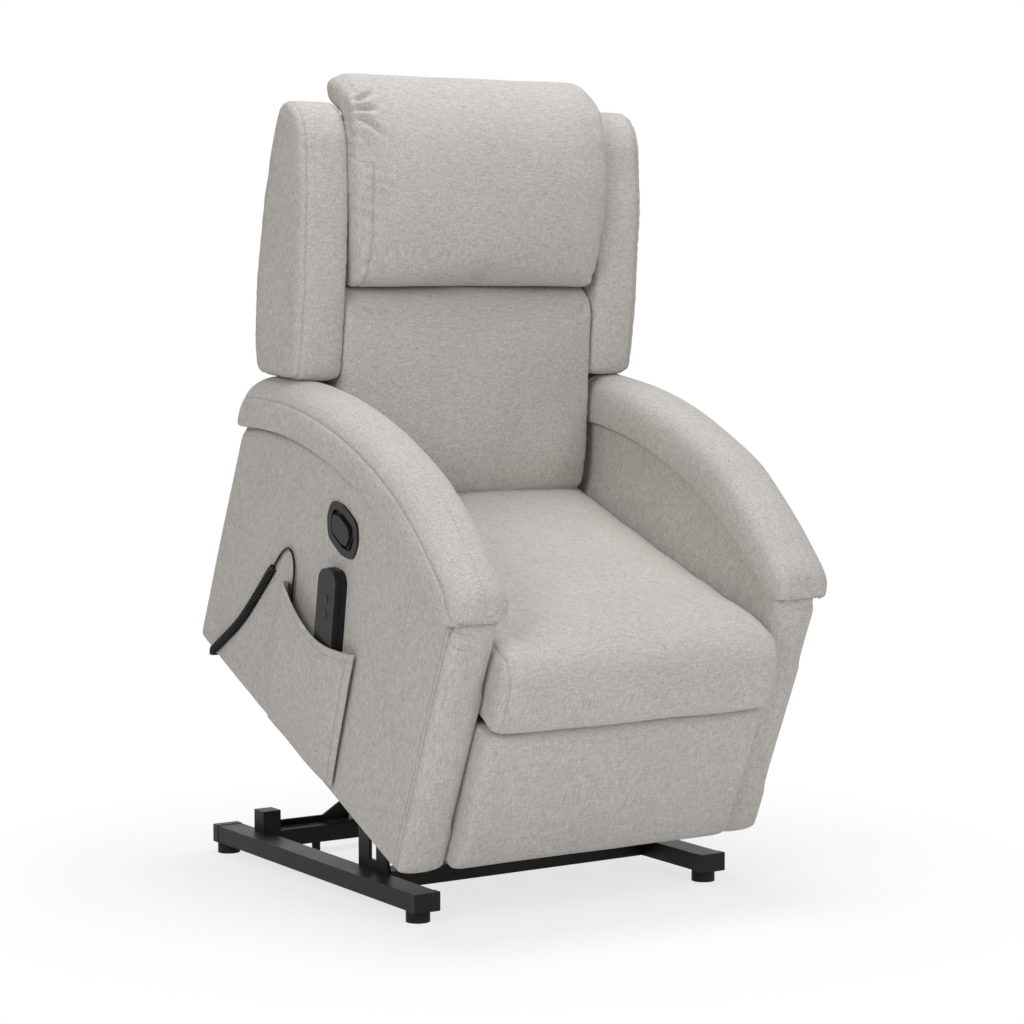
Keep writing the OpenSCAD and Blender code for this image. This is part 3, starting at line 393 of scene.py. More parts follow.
cordRun = {
    "diameter": 0.004, "coil": 0.0058, "pitch": 0.0068, "perTurn": 14, "sides": 8,
    "leadPoints": 26, "tailPoints": 90,
    "lead": [(-0.328, 0.688, -0.009), (-0.338, 0.688, -0.009), (-0.348, 0.687, -0.008),
             (-0.3555, 0.682, -0.003), (-0.3563, 0.677, 0.004)],
    "curl": [(-0.3563, 0.677, 0.004), (-0.3563, 0.665, 0.021), (-0.3563, 0.652, 0.039),
             (-0.3563, 0.639, 0.057), (-0.3563, 0.624, 0.078), (-0.3563, 0.609, 0.101),
             (-0.3563, 0.593, 0.129), (-0.3563, 0.578, 0.160), (-0.3563, 0.564, 0.190),
             (-0.3563, 0.551, 0.219), (-0.3563, 0.538, 0.249)],
    "tail": [(-0.3563, 0.538, 0.249), (-0.3563, 0.532, 0.263), (-0.3563, 0.525, 0.278),
             (-0.3563, 0.517, 0.291), (-0.3563, 0.506, 0.300), (-0.3563, 0.494, 0.300),
             (-0.3563, 0.483, 0.292), (-0.3563, 0.474, 0.276), (-0.3577, 0.466, 0.254),
             (-0.3587, 0.459, 0.230), (-0.3597, 0.451, 0.206), (-0.3605, 0.441, 0.182),
             (-0.3605, 0.427, 0.160), (-0.3605, 0.408, 0.141), (-0.3605, 0.385, 0.127),
             (-0.3605, 0.360, 0.119), (-0.3605, 0.336, 0.119), (-0.3605, 0.317, 0.128),
             (-0.3605, 0.306, 0.144), (-0.3605, 0.304, 0.160), (-0.3605, 0.3045, 0.167)],
}


def cordPath(run):
    # the coil winds about the middle of the curl, and grows and shrinks over its first and last turn
    perTurn = run["perTurn"]
    steps = round(lengthOf(spline(run["curl"], 400)) / run["pitch"]) * perTurn
    middle = spline(run["curl"], steps + 1)
    lead = spline(run["lead"], run["leadPoints"])[:-1]
    tail = spline(run["tail"], run["tailPoints"])[1:]
    side = Vector((1, 0, 0))
    coil = []
    for i, p in enumerate(middle):
        ahead = (middle[min(i + 1, steps)] - middle[max(i - 1, 0)]).normalized()
        up = ahead.cross(side).normalized()
        turn = 2 * pi * i / perTurn
        grow = min(1, i / perTurn, (steps - i) / perTurn)
        r = run["coil"] * sin(grow * pi / 2)
        coil.append(p + (side * cos(turn) + up * sin(turn)) * r)
    return lead + coil + tail


def tubeRings(path, radius, sides):
    rings = []
    side = Vector((1, 0, 0))
    for i, p in enumerate(path):
        ahead = (path[min(i + 1, len(path) - 1)] - path[max(i - 1, 0)]).normalized()
        side = (side - ahead * side.dot(ahead)).normalized()
        up = ahead.cross(side)
        rings.append([p + (side * cos(2 * pi * k / sides) + up * sin(2 * pi * k / sides)) * radius
                      for k in range(sides)])
    return rings


def makeCord(run):
    path = cordPath(run)
    bm = loft(tubeRings(path, run["diameter"] / 2, run["sides"]))
    cord = toPiece("handset_cord", bm)
    placed = [tuple(chairToRow @ p) for p in path]
    size = lengthOf([Vector(p) for p in placed])
    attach(cord, "carriage")
    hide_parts("handset_cord_lead", "handset_cord_curl", "handset_cord_tail")
    print("made handset_cord", round(size, 3), "m")
    return cord


handsetCord = makeCord(cordRun)

# ---- finishes


class Wire:
    # a shader socket that can stand in sums
    def __init__(self, shading, socket):
        self.shading = shading
        self.socket = socket

    def sum(self, operation, first, second=0.0):
        return self.shading.add("ShaderNodeMath", {"operation": operation}, {0: first, 1: second})[0]

    def __add__(self, other):
        return self.sum("ADD", self, other)

    def __mul__(self, other):
        return self.sum("MULTIPLY", self, other)

    __radd__ = __add__
    __rmul__ = __mul__

    def __sub__(self, other):
        return self.sum("SUBTRACT", self, other)

    def __rsub__(self, other):
        return self.sum("SUBTRACT", other, self)

    def __truediv__(self, other):
        return self.sum("DIVIDE", self, other)

    def __rtruediv__(self, other):
        return self.sum("DIVIDE", other, self)

    def __abs__(self):
        return self.sum("ABSOLUTE", self)

    def root(self):
        return self.sum("SQRT", self)

    def most(self, other):
        return self.sum("MAXIMUM", self, other)


class Shading:
    # the nodes of a finish or of the world
    def __init__(self, owner):
        owner.use_nodes = True
        self.nodes = owner.node_tree.nodes
        self.links = owner.node_tree.links
        self.nodes.clear()

    def add(self, kind, settings, values):
        node = self.nodes.new(kind)
        for key, value in settings.items():
            setattr(node, key, value)
        for key, value in values.items():
            if isinstance(value, Wire):
                self.links.new(value.socket, node.inputs[key])
            else:
                node.inputs[key].default_value = value
        return [Wire(self, s) for s in node.outputs]

    def seen(self):
        # 1 on camera, glossy and transmission rays
        ray = self.add("ShaderNodeLightPath", {}, {})
        return ray[0].most(ray[3].most(ray[6]))


class Finish(Shading):
    def __init__(self, name, constants):
        self.material = bpy.data.materials.new(name)
        super().__init__(self.material)
        self.out = self.nodes.new("ShaderNodeOutputMaterial")
        self.shader = self.nodes.new("ShaderNodeBsdfPrincipled")
        for key, value in constants.items():
            self.shader.inputs[key].default_value = value
        self.links.new(self.shader.outputs[0], self.out.inputs["Surface"])

    def set(self, socket, wire):
        self.links.new(wire.socket, self.shader.inputs[socket])

    def place(self):
        return self.add("ShaderNodeTexCoord", {}, {})[3]

    def turned(self, stretch=(1, 1, 1)):
        # object coordinates brought level with the chair, then stretched
        level = self.add("ShaderNodeMapping", {"vector_type": "POINT"},
                         {"Vector": self.place(), "Rotation": (-chairTilt, 0, 0)})[0]
        return self.add("ShaderNodeMapping", {"vector_type": "POINT"}, {"Vector": level, "Scale": stretch})[0]

    def noise(self, vector, scale, detail=2.0, roughness=0.5):
        return self.add("ShaderNodeTexNoise", {"noise_dimensions": "3D"},
                        {"Vector": vector, "Scale": scale, "Detail": detail, "Roughness": roughness})[0]

    def blend(self, factor, first, second):
        return self.add("ShaderNodeMix", {"data_type": "RGBA", "blend_type": "MIX"},
                        {0: factor, 6: first, 7: second})[2]

    def bump(self, height, distance):
        self.set("Normal", self.add("ShaderNodeBump", {}, {"Height": height, "Distance": distance})[0])


def colour(r, g, b):
    return (r, g, b, 1.0)


fabric = {
    "light": colour(0.640, 0.608, 0.578), "dark": colour(0.368, 0.346, 0.325), "thread": 560.0, "run": 70.0,
    "roughness": 0.92, "bump": 0.0008, "line": 0.0010, "valley": 0.0035, "lineDepth": 0.42,
    "lineColour": colour(0.20, 0.19, 0.175), "weights": (0.9, 1.25, 0.85),
    "contrast": 4.0, "slub": 0.34, "patch": 0.22, "middle": 0.52,
}


def fabricFinish(settings):
    f = Finish("woven_upholstery", {"Roughness": settings["roughness"], "Specular IOR Level": 0.2,
                                    "Sheen Weight": 0.12, "Sheen Roughness": 0.5})
    fine, run = settings["thread"], settings["run"]
    across = f.noise(f.turned((run, fine, fine)), 1.0, 3.0, 0.6)       # threads along x
    upward = f.noise(f.turned((fine, fine, run)), 1.0, 3.0, 0.6)       # along v
    inward = f.noise(f.turned((fine, run, fine)), 1.0, 3.0, 0.6)       # along u
    a, b, c = settings["weights"]
    weave = (across * a + upward * b + inward * c) / (a + b + c)
    slub = f.noise(f.turned(), 120.0)
    patch = f.noise(f.turned(), 9.0)
    uneven = (slub - 0.5) * settings["slub"] + (patch - 0.5) * settings["patch"]
    tone = (weave - 0.5) * settings["contrast"] + uneven + settings["middle"]
    # thread lines and the shallow valley of each seam, from the distances kept on the piece; on the side
    # panels the second line also paints the shadow under the arm pads
    valley, thread = 0, 0
    for layer in ("seam", "secondLine"):
        kept = f.add("ShaderNodeAttribute", {"attribute_type": "GEOMETRY", "attribute_name": layer}, {})[2]
        off = abs((kept - 1.0) / seamScale)
        valley = valley + (1 - off / settings["valley"]).most(0)
        thread = thread + (1 - off / settings["line"]).most(0)
    woven = f.blend(tone, settings["dark"], settings["light"])
    # the dark line colour paints the seam threads and, under the arm pads, a painted shadow line
    f.set("Base Color", f.blend(thread * settings["lineDepth"], woven, settings["lineColour"]))
    f.bump(weave + slub * 0.3 - valley * 1.6, settings["bump"])
    return f.material


steel = {"base": colour(0.0055, 0.0055, 0.006), "worn": colour(0.010, 0.010, 0.011), "roughness": 0.40}


def steelFinish(settings):
    f = Finish("black_powder_coat", {"Metallic": 0.0, "Specular IOR Level": 0.16})
    speck = f.noise(f.turned(), 900.0, 2.0, 0.6)
    cloud = f.noise(f.turned(), 14.0, 3.0, 0.5)
    f.set("Base Color", f.blend(cloud, settings["base"], settings["worn"]))
    f.set("Roughness", (cloud - 0.5) * 0.18 + settings["roughness"])
    f.bump(speck, 0.00012)
    return f.material


def plasticFinish(name, base, lift, roughness, grain):
    f = Finish(name, {"Specular IOR Level": 0.20})
    speck = f.noise(f.turned(), grain)
    cloud = f.noise(f.turned(), 22.0)
    f.set("Base Color", f.blend(cloud, colour(*base), colour(*lift)))
    f.set("Roughness", (cloud - 0.5) * 0.1 + roughness)
    f.bump(speck, 0.00006)
    return f.material


def zincFinish():
    f = Finish("zinc_plate", {"Metallic": 1.0})
    cloud = f.noise(f.turned(), 60.0, 4.0, 0.6)
    f.set("Base Color", f.blend(cloud, colour(0.42, 0.42, 0.43), colour(0.62, 0.62, 0.64)))
    f.set("Roughness", (cloud - 0.5) * 0.25 + 0.36)
    return f.material


def chromeFinish():
    f = Finish("bright_rod", {"Metallic": 1.0})
    line = f.noise(f.turned((400, 12, 12)), 1.0)
    f.set("Base Color", f.blend(line, colour(0.62, 0.63, 0.65), colour(0.78, 0.79, 0.80)))
    f.set("Roughness", (line - 0.5) * 0.1 + 0.16)
    return f.material


def timberFinish():
    f = Finish("plain_plywood", {"Specular IOR Level": 0.3})
    grain = f.noise(f.turned((180, 14, 180)), 1.0, 4.0, 0.6)
    knots = f.noise(f.turned(), 7.0)
    figure = grain * 0.7 + knots * 0.3
    f.set("Base Color", f.blend(figure, colour(0.36, 0.23, 0.12), colour(0.62, 0.45, 0.27)))
    f.set("Roughness", grain * 0.2 + 0.55)
    f.bump(grain, 0.0003)
    return f.material


cloth = fabricFinish(fabric)
finishes = {
    "black_steel": steelFinish(steel),
    "zinc_steel": zincFinish(),
    "rod_chrome": chromeFinish(),
    "timber": timberFinish(),
    "upholstery": cloth,
}
plastics = [  # slot, material, base colour, lighter clouds, roughness, grain
    ("black_plastic", "black_plastic", (0.006, 0.006, 0.0065), (0.010, 0.010, 0.011), 0.42, 1400.0),
    ("rubber_feet", "foot_rubber", (0.007, 0.007, 0.007), (0.012, 0.012, 0.012), 0.62, 700.0),
    ("charcoal_plastic", "charcoal_plastic", (0.011, 0.0115, 0.013), (0.017, 0.0175, 0.019), 0.38, 1400.0),
    ("button_plastic", "button_plastic", (0.020, 0.021, 0.024), (0.030, 0.031, 0.034), 0.42, 1400.0),
    ("cord_black", "cord_rubber", (0.006, 0.006, 0.0065), (0.011, 0.011, 0.012), 0.38, 1400.0),
]
for slot, *look in plastics:
    finishes[slot] = plasticFinish(*look)
for part in frame["record"]["subparts"]:
    node = frame["nodes"].get(part["node"])
    if node is not None:
        for place in node.material_slots:
            place.material = finishes[part["material_slot"]]
handsetCord.data.materials.append(finishes["cord_black"])
print("finishes ready")

# ---- arms: padded side panels

sidePanel = {
    "voxel": 0.0085, "soften": 4, "inset": 0.0015, "proud": 0.0005,
    "foot": [(0.0055, -0.006), (0.746, 0.0)], "top": (0.744, 0.0215, 26), "underPad": 0.007,
    "frontPuff": 0.006, "facePuff": 0.003, "faceLength": 0.745, "faceHeight": 0.5,
    "slack": (0.0012, 0.16),      # height and size of its waves
    "stopsFrom": 0.50, "stopsTop": 0.09, "stopsClear": 0.2657,
    "cutReach": (0.042, 0.029), "cutEdge": 0.12, "cutDepth": 0.009, "cutFrom": 0.34,
    "lean": 0.0332, "seamFrom": 0.31, "seam": 0.0165, "seamDepth": 0.0012, "seamWidth": 0.004, "welt": 0.008,
    # padShadowOffset: how far below the arm pad's edge the painted shadow line runs
    "weltDepth": 0.0010, "padShadowOffset": 0.0022, "drawn": 0.0040, "drawnReach": 0.009,
}


def makeSidePanel(name, side, settings):
    u0, v0 = archCentre
    r = archRadius + settings["underPad"]
    top = [(u, v0 + sqrt(r * r - (u - u0) ** 2)) for u in np.linspace(*settings["top"])]
    bm = padding(settings, settings["foot"] + top, panelIn - settings["inset"], panelOut + settings["proud"])
    bm = subdivided(bm)
    points, normals = read(bm)
    x, u, v = points.T
    # the front post is wadded, and the outer face a little too
    front = facing(normals, 1, -1) * hump((x - panelIn) / (panelOut - panelIn), 0.7)
    outer = facing(normals, 0, 1) * hump(u / settings["faceLength"], 0.4)
    outer *= hump((v + 0.01) / settings["faceHeight"], 0.5)
    points += normals * (settings["frontPuff"] * front + settings["facePuff"] * outer)[:, None]
    write(bm, points)
    undulate(bm, *settings["slack"], seed=side * 1.3)
    points, normals = read(bm)
    # clear of the rest stops when the chair is down
    low = (points[:, 1] > settings["stopsFrom"]) & (points[:, 2] < settings["stopsTop"])
    points[low, 0] = np.maximum(points[low, 0], settings["stopsClear"])
    if side < 0:
        # the cover is cut away behind the release handle
        wide, high = settings["cutReach"]
        far = np.hypot((points[:, 1] - handleMiddle[0]) / wide, (points[:, 2] - handleMiddle[1]) / high)
        cut = ramp(1 + settings["cutEdge"] - far, settings["cutEdge"])
        points[:, 0] -= settings["cutDepth"] * cut * (points[:, 0] > settings["cutFrom"])
    write(bm, points)
    away = points[:, 1] - settings["lean"] * points[:, 2] - settings["seam"]
    outside = lambda p, n: ramp(p[:, 0] - settings["seamFrom"], 0.01)
    sewn(bm, away, settings["seamDepth"], settings["seamWidth"], "seam", outside)
    # a second line follows the welt up the post, and under the arm pad it is a painted shadow line just below
    # the pad's lower edge
    welt = away - settings["welt"]
    arch = np.hypot(points[:, 1] - u0, points[:, 2] - v0) - archRadius + settings["padShadowOffset"]
    second = np.where(np.abs(arch) < np.abs(welt), -arch, welt)
    sewn(bm, second, settings["weltDepth"], settings["seamWidth"], "secondLine", outside)
    # the cover is drawn in under the arm pad
    points, normals = read(bm)
    under = np.exp(-(arch / settings["drawnReach"]) ** 2)
    points[:, 0] -= settings["drawn"] * under * outside(points, normals)
    write(bm, points)
    return upholstered(name, bm if side > 0 else mirrored(bm), "carriage")


makeSidePanel("side_panel_left", 1, sidePanel)
makeSidePanel("side_panel_right", -1, sidePanel)

# ---- dark cup behind the release handle

handleCup = {"length": 0.084, "height": 0.058, "lean": radians(-7), "corners": 48, "squareness": 0.7,
             "face": -0.3492, "depth": 0.0012}


def makeHandleCup(settings):
    u0, v0 = handleMiddle
    c, s = cos(settings["lean"]), sin(settings["lean"])
    power = settings["squareness"]
    outline = []
    for k in range(settings["corners"]):
        a = 2 * pi * k / settings["corners"]
        u = settings["length"] / 2 * copysign(abs(cos(a)) ** power, cos(a))
        v = settings["height"] / 2 * copysign(abs(sin(a)) ** power, sin(a))
        outline.append((u0 + u * c - v * s, v0 + u * s + v * c))
    face = settings["face"]
    cup = toPiece("release_cup", slab(outline, face, face + settings["depth"]), smooth=False)
    cup.data.materials.append(finishes["black_plastic"])
    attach(cup, "carriage")


makeHandleCup(handleCup)

# ---- arm pads

armPad = {
    "section": [(0.95, 0), (0.5, 0), (0.05, 0), (0, 0.09), (0.005, 0.50), (0.07, 0.78), (0.22, 0.945),
                (0.42, 1), (0.62, 0.975), (0.80, 0.86), (0.92, 0.66), (0.985, 0.38), (1, 0.10)],
    "inner": 0.013, "outer": 0.0185, "height": 0.084, "gap": 0.0003, "along": 130, "around": 76,
    "front": 0.0235, "rear": 0.737, "nose": 0.036, "tail": 0.022,
    "sideCut": 0.42, "lowCut": 0.36, "highCut": 0.85,      # how much the ends take off each side
    "slim": 0.022, "slimFrom": -8, "lean": 1.8, "leanFrom": 20,     # by degrees along the arch
    "insets": 3, "inset": 0.007, "bulge": 0.0032, "slack": (0.0016, 0.11),
    "band": 0.050, "bandDepth": 0.0007, "bandWidth": 0.0045, "dip": 0.014, "dipSpan": 4.5,
    "seamFrom": 0.300, "seamAbove": 0.012,
}


def archBearing(u):
    # degrees from straight up, about the middle of the arch
    return asin((u - archCentre[0]) / archRadius) * 180 / pi


def padSlim(settings, bearing):
    # the pad is lower towards its nose
    return 1 - settings["slim"] * np.maximum(0, settings["slimFrom"] - bearing)


def padRing(settings, outline, bearing, cut):
    x0 = panelIn - settings["inner"] + settings["sideCut"] * cut
    x1 = panelOut + settings["outer"] - settings["sideCut"] * cut
    low = settings["lowCut"] * cut
    high = settings["height"] * padSlim(settings, bearing) - settings["highCut"] * cut - low
    lean = settings["lean"] if bearing > settings["leanFrom"] else 0
    ring = []
    for a, h in outline:
        r = archRadius + settings["gap"] + low + h * high
        b = radians(bearing - lean * h)
        ring.append((x0 + (x1 - x0) * a, archCentre[0] + r * sin(b), archCentre[1] + r * cos(b)))
    return ring


def makeArmPad(name, side, settings):
    section = spline([(w, h, 0) for w, h in settings["section"]], settings["around"], closed=True)
    outline = [(p.x, max(p.y, 0)) for p in section]
    front, back = archBearing(settings["front"]), archBearing(settings["rear"])
    nose, tail, steps = settings["nose"], settings["tail"], settings["along"]
    t0 = nose / archRadius * 180 / pi
    t1 = tail / archRadius * 180 / pi
    rings = []
    for a in range(0, 90, 9):
        t = front + t0 * (1 - cos(radians(a)))
        rings.append(padRing(settings, outline, t, nose * (1 - sin(radians(a)))))
    for i in range(steps + 1):
        rings.append(padRing(settings, outline, front + t0 + (back - front - t0 - t1) * i / steps, 0))
    for a in range(81, -1, -9):
        t = back - t1 * (1 - cos(radians(a)))
        rings.append(padRing(settings, outline, t, tail * (1 - sin(radians(a)))))
    bm = loft(rings)
    for k in range(settings["insets"]):
        ends = [f for f in bm.faces if len(f.verts) > 4]
        bmesh.ops.inset_region(bm, faces=ends, thickness=settings["inset"], depth=settings["bulge"])
    bmesh.ops.triangulate(bm, faces=[f for f in bm.faces if len(f.verts) > 4])
    bmesh.ops.recalc_face_normals(bm, faces=bm.faces)
    soften(bm, 2)
    bm = subdivided(bm)
    undulate(bm, *settings["slack"], seed=2.0 + side)
    points, normals = read(bm)
    u, v = points[:, 1] - archCentre[0], points[:, 2] - archCentre[1]
    reach = np.hypot(u, v) - archRadius
    bearing = np.degrees(np.arctan2(u, v))
    # the band seam runs along both sides and dips round the nose, where a small end panel is set in
    drop = ramp(front + settings["dipSpan"] - bearing, settings["dipSpan"])
    away = reach - (settings["band"] * padSlim(settings, bearing) - settings["dip"] * drop ** 2)
    outside = ramp(points[:, 0] - settings["seamFrom"], 0.01) * ramp(reach - settings["seamAbove"], 0.01)
    sewn(bm, away, settings["bandDepth"], settings["bandWidth"], "seam", lambda p, n: outside)
    return upholstered(name, bm if side > 0 else mirrored(bm), "carriage")


makeArmPad("arm_pad_left", 1, armPad)
makeArmPad("arm_pad_right", -1, armPad)

# ---- seat cushion

seatCushion = {
    "outline": [(-0.030, 0.2575), (0.612, 0.2585), (0.622, 0.336), (0.300, 0.362), (0.040, 0.388),
                (-0.008, 0.382), (-0.031, 0.350), (-0.034, 0.292)],
    "half": 0.2640, "corner": 0.012, "voxel": 0.0095, "soften": 3,
    "topCrown": 0.012, "noseCrown": 0.009, "spread": 0.020, "spreadFrom": 0.004,
    "pressure": 4.0, "cap": 0.013, "heldBelow": 0.268, "heldBehind": 0.592, "heldEdge": 0.005,
    "slack": (0.0022, 0.13), "seam": 0.2560, "seamRear": 0.10, "seamDepth": 0.0012, "seamWidth": 0.004,
    "gathers": (0.0006, 0.014, 0.019, 0.4),      # height, reach, pitch, seed
}


def makeSeatCushion(settings):
    h = settings["half"]
    bm = padding(settings, rounded(settings["outline"], settings["corner"]), -h, h)
    points, normals = read(bm)
    x, u, v = points.T
    full = crown(x / h, 0.35)
    points[:, 2] += settings["topCrown"] * full * facing(normals, 2, 1)
    points[:, 1] -= settings["noseCrown"] * full * facing(normals, 1, -1)
    # ahead of the arms the front corners spread over the edges of the posts
    points[:, 0] *= 1 + settings["spread"] * ramp(settings["spreadFrom"] - u, 0.012)
    write(bm, points)
    bm = inflated(bm, settings["pressure"], settings["cap"], lambda p: (
        (p[:, 2] < settings["heldBelow"]) | (p[:, 1] > settings["heldBehind"])
        | (np.abs(p[:, 0]) > h - settings["heldEdge"])))
    bm = subdivided(bm)
    undulate(bm, *settings["slack"], seed=5.0)
    points, normals = read(bm)
    away = np.abs(points[:, 0]) - settings["seam"]
    front = lambda p, n=None: ramp(settings["seamRear"] - p[:, 1], 0.05)
    sewn(bm, away, settings["seamDepth"], settings["seamWidth"], "seam", front)
    gathered(bm, away, points[:, 2] - points[:, 1], *settings["gathers"], fade=front)
    return upholstered("seat_cushion", bm, "carriage")


makeSeatCushion(seatCushion)

# ---- lower back cushion

lowerBack = {
    "outline": [(0.590, 0.326), (0.641, 0.330), (0.728, 0.676), (0.694, 0.676), (0.664, 0.652),
                (0.636, 0.575), (0.601, 0.482), (0.570, 0.402), (0.568, 0.350)],
    "half": 0.2480, "corner": 0.012, "voxel": 0.0085, "soften": 5, "crown": 0.014,
    "pressure": 4.0, "cap": 0.022, "heldBehind": -0.010, "heldBelow": 0.345, "heldEdge": 0.005,
    "slack": (0.002, 0.12), "seam": 0.234, "gathers": (0.0008, 0.016, 0.021, 0.9),
    "folds": [  # at the left corners, and the same at the right: points, depth, width
        ([(0.240, 0.66, 0.672), (0.222, 0.655, 0.650), (0.205, 0.65, 0.636)], 0.0028, 0.005),
        ([(0.236, 0.665, 0.676), (0.225, 0.66, 0.668), (0.196, 0.655, 0.664)], 0.0020, 0.005),
        ([(0.238, 0.57, 0.420), (0.226, 0.575, 0.440), (0.208, 0.585, 0.470)], 0.0018, 0.006),
    ],
}


def makeLowerBack(settings):
    h = settings["half"]
    bm = padding(settings, rounded(settings["outline"], settings["corner"]), -h, h)
    points, normals = read(bm)
    points[:, 1] -= settings["crown"] * crown(points[:, 0] / h, 0.45) * facing(normals, 1, -1)
    write(bm, points)
    bm = inflated(bm, settings["pressure"], settings["cap"], lambda p: (
        (p[:, 1] > backLine(p[:, 2]) + settings["heldBehind"])
        | (np.abs(p[:, 0]) > h - settings["heldEdge"]) | (p[:, 2] < settings["heldBelow"])))
    bm = subdivided(bm)
    undulate(bm, *settings["slack"], seed=8.0)
    points, normals = read(bm)
    away = np.abs(points[:, 0]) - settings["seam"]
    gathered(bm, away, points[:, 2], *settings["gathers"])
    strokes = [([(s * x, u, v) for x, u, v in line], depth, width)
               for s in (-1, 1) for line, depth, width in settings["folds"]]
    creased(bm, strokes)
    return upholstered("lower_back_cushion", bm, "backrest")


makeLowerBack(lowerBack)

# ---- headrest cushion

headrest = {
    "outline": [(0.690, 0.676), (0.726, 0.677), (0.784, 0.905), (0.796, 0.934), (0.866, 0.940),
                (0.882, 0.968), (0.864, 0.993), (0.826, 0.995), (0.790, 0.978), (0.750, 0.936),
                (0.718, 0.876), (0.690, 0.804), (0.673, 0.740), (0.672, 0.698)],
    "half": 0.2500, "corner": 0.012, "voxel": 0.0085, "soften": 4, "crown": 0.013,
    "taper": 0.028, "taperFrom": 0.86, "taperOver": 0.17, "top": 0.995, "topCorner": 0.030,
    "pressure": 4.0, "cap": 0.024,
    "heldBehind": -0.010, "heldTop": 0.945, "heldRear": 0.855, "heldEdge": 0.005,
    "slack": (0.002, 0.12), "gathers": (0.0021, 0.020, 0.0125, 1.7),
    "seam": 0.2190, "seamTop": 0.90, "seamDepth": 0.0014, "seamWidth": 0.004,
    "hub": (-0.247, 0.790, 0.946), "pleatWidth": 0.0050,
    "pleats": [  # from the hub to here, depth
        ((-0.214, 0.826, 0.992), 0.0036), ((-0.196, 0.798, 0.980), 0.0056), ((-0.200, 0.770, 0.957), 0.0060),
        ((-0.190, 0.742, 0.918), 0.0054), ((-0.210, 0.722, 0.884), 0.0042),
    ],
    "folds": [  # points, depth, width
        ([(-0.246, 0.690, 0.700), (-0.232, 0.678, 0.716), (-0.212, 0.668, 0.745)], 0.0030, 0.005),
        ([(0.246, 0.690, 0.694), (0.236, 0.680, 0.704), (0.222, 0.670, 0.724)], 0.0022, 0.005),
    ],
}


def makeHeadrest(settings):
    h = settings["half"]
    bm = padding(settings, rounded(settings["outline"], settings["corner"]), -h, h)
    points, normals = read(bm)
    points[:, 1] -= settings["crown"] * crown(points[:, 0] / h, 0.45) * facing(normals, 1, -1)
    # the cushion is a little narrower at the bottom, and its top corners are cut round
    rise = (points[:, 2] - settings["taperFrom"]) / settings["taperOver"]
    points[:, 0] *= 1 + settings["taper"] * np.clip(rise, -1, 0)
    c = settings["topCorner"]
    a = np.maximum(np.abs(points[:, 0]) - (h - c), 0)
    b = np.maximum(points[:, 2] - (settings["top"] - c), 0)
    pull = np.maximum(a, b) / np.maximum(np.hypot(a, b), 1e-9)
    both = (a > 0) & (b > 0)
    points[:, 2] -= np.where(both, b * (1 - pull), 0)
    points[:, 0] -= np.where(both, np.sign(points[:, 0]) * a * (1 - pull), 0)
    write(bm, points)
    bm = inflated(bm, settings["pressure"], settings["cap"], lambda p: (
        (p[:, 1] > backLine(p[:, 2]) + settings["heldBehind"]) & (p[:, 2] < settings["heldTop"])
        | (np.abs(p[:, 0]) > h - settings["heldEdge"]) | (p[:, 1] > settings["heldRear"])))
    bm = subdivided(bm)
    undulate(bm, *settings["slack"], seed=11.0)
    points, normals = read(bm)
    away = -points[:, 0] - settings["seam"]
    below = lambda p: settings["seamTop"] - p[:, 2]
    sewn(bm, away, settings["seamDepth"], settings["seamWidth"], "seam", lambda p, n: ramp(below(p), 0.02))
    along = points[:, 2] * 0.8 - points[:, 1] * 0.4
    gathered(bm, away, along, *settings["gathers"], fade=lambda p: ramp(below(p), 0.04))
    # pleats fan out from where the cushion meets the right wing
    hub = settings["hub"]
    strokes = []
    for end, depth in settings["pleats"]:
        middle = tuple((a + b) / 2 for a, b in zip(hub, end))
        strokes.append(([hub, middle, end], depth, settings["pleatWidth"]))
    creased(bm, strokes + settings["folds"])
    return upholstered("headrest_cushion", bm, "backrest")


makeHeadrest(headrest)

# ---- wings beside the cushions

wing = {
    "outline": [(0.630, 0.541), (0.757, 0.495), (0.786, 0.541), (0.817, 0.629), (0.849, 0.766),
                (0.862, 0.880), (0.860, 0.930), (0.838, 0.950), (0.800, 0.944), (0.770, 0.918),
                (0.721, 0.820), (0.667, 0.672)],
    "inner": 0.2465, "outer": 0.3355, "corner": 0.016, "voxel": 0.0075, "soften": 5,
    "frontPuff": 0.006, "facePuff": 0.003, "slack": (0.0018, 0.12),
    "seam": 0.3275, "seamDepth": 0.0018, "seamWidth": 0.0045, "gathers": (0.0006, 0.012, 0.020),
}


def makeWing(name, side, settings):
    x0, x1 = settings["inner"], settings["outer"]
    bm = padding(settings, rounded(settings["outline"], settings["corner"]), x0, x1)
    bm = subdivided(bm)
    points, normals = read(bm)
    front = facing(normals, 1, -1) * hump((points[:, 0] - x0) / (x1 - x0), 0.8)
    outer = facing(normals, 0, 1)
    points += normals * (settings["frontPuff"] * front + settings["facePuff"] * outer)[:, None]
    write(bm, points)
    undulate(bm, *settings["slack"], seed=14.0 + side)
    points, normals = read(bm)
    away = points[:, 0] - settings["seam"]
    ahead = lambda p, n: ramp(-n[:, 1] + 0.25, 0.2)
    sewn(bm, away, settings["seamDepth"], settings["seamWidth"], "seam", ahead)
    gathered(bm, away, points[:, 2], *settings["gathers"], seed=side + 3.3, fade=lambda p: ahead(p, normals))
    return upholstered(name, bm if side > 0 else mirrored(bm), "backrest")


makeWing("back_wing_left", 1, wing)
makeWing("back_wing_right", -1, wing)

# ---- outer back panel

backCover = {
    "swell": [(0.300, 0.009), (0.420, 0.027), (0.560, 0.033), (0.760, 0.031), (0.880, 0.025), (0.930, 0.014)],
    "flat": [0.930, 0.760, 0.560, 0.420, 0.300], "frame": 0.0305, "half": 0.2445,
    "voxel": 0.0085, "soften": 4, "slack": (0.0015, 0.14),
    "seam": 0.236, "seamDepth": 0.0016, "seamWidth": 0.004,
}


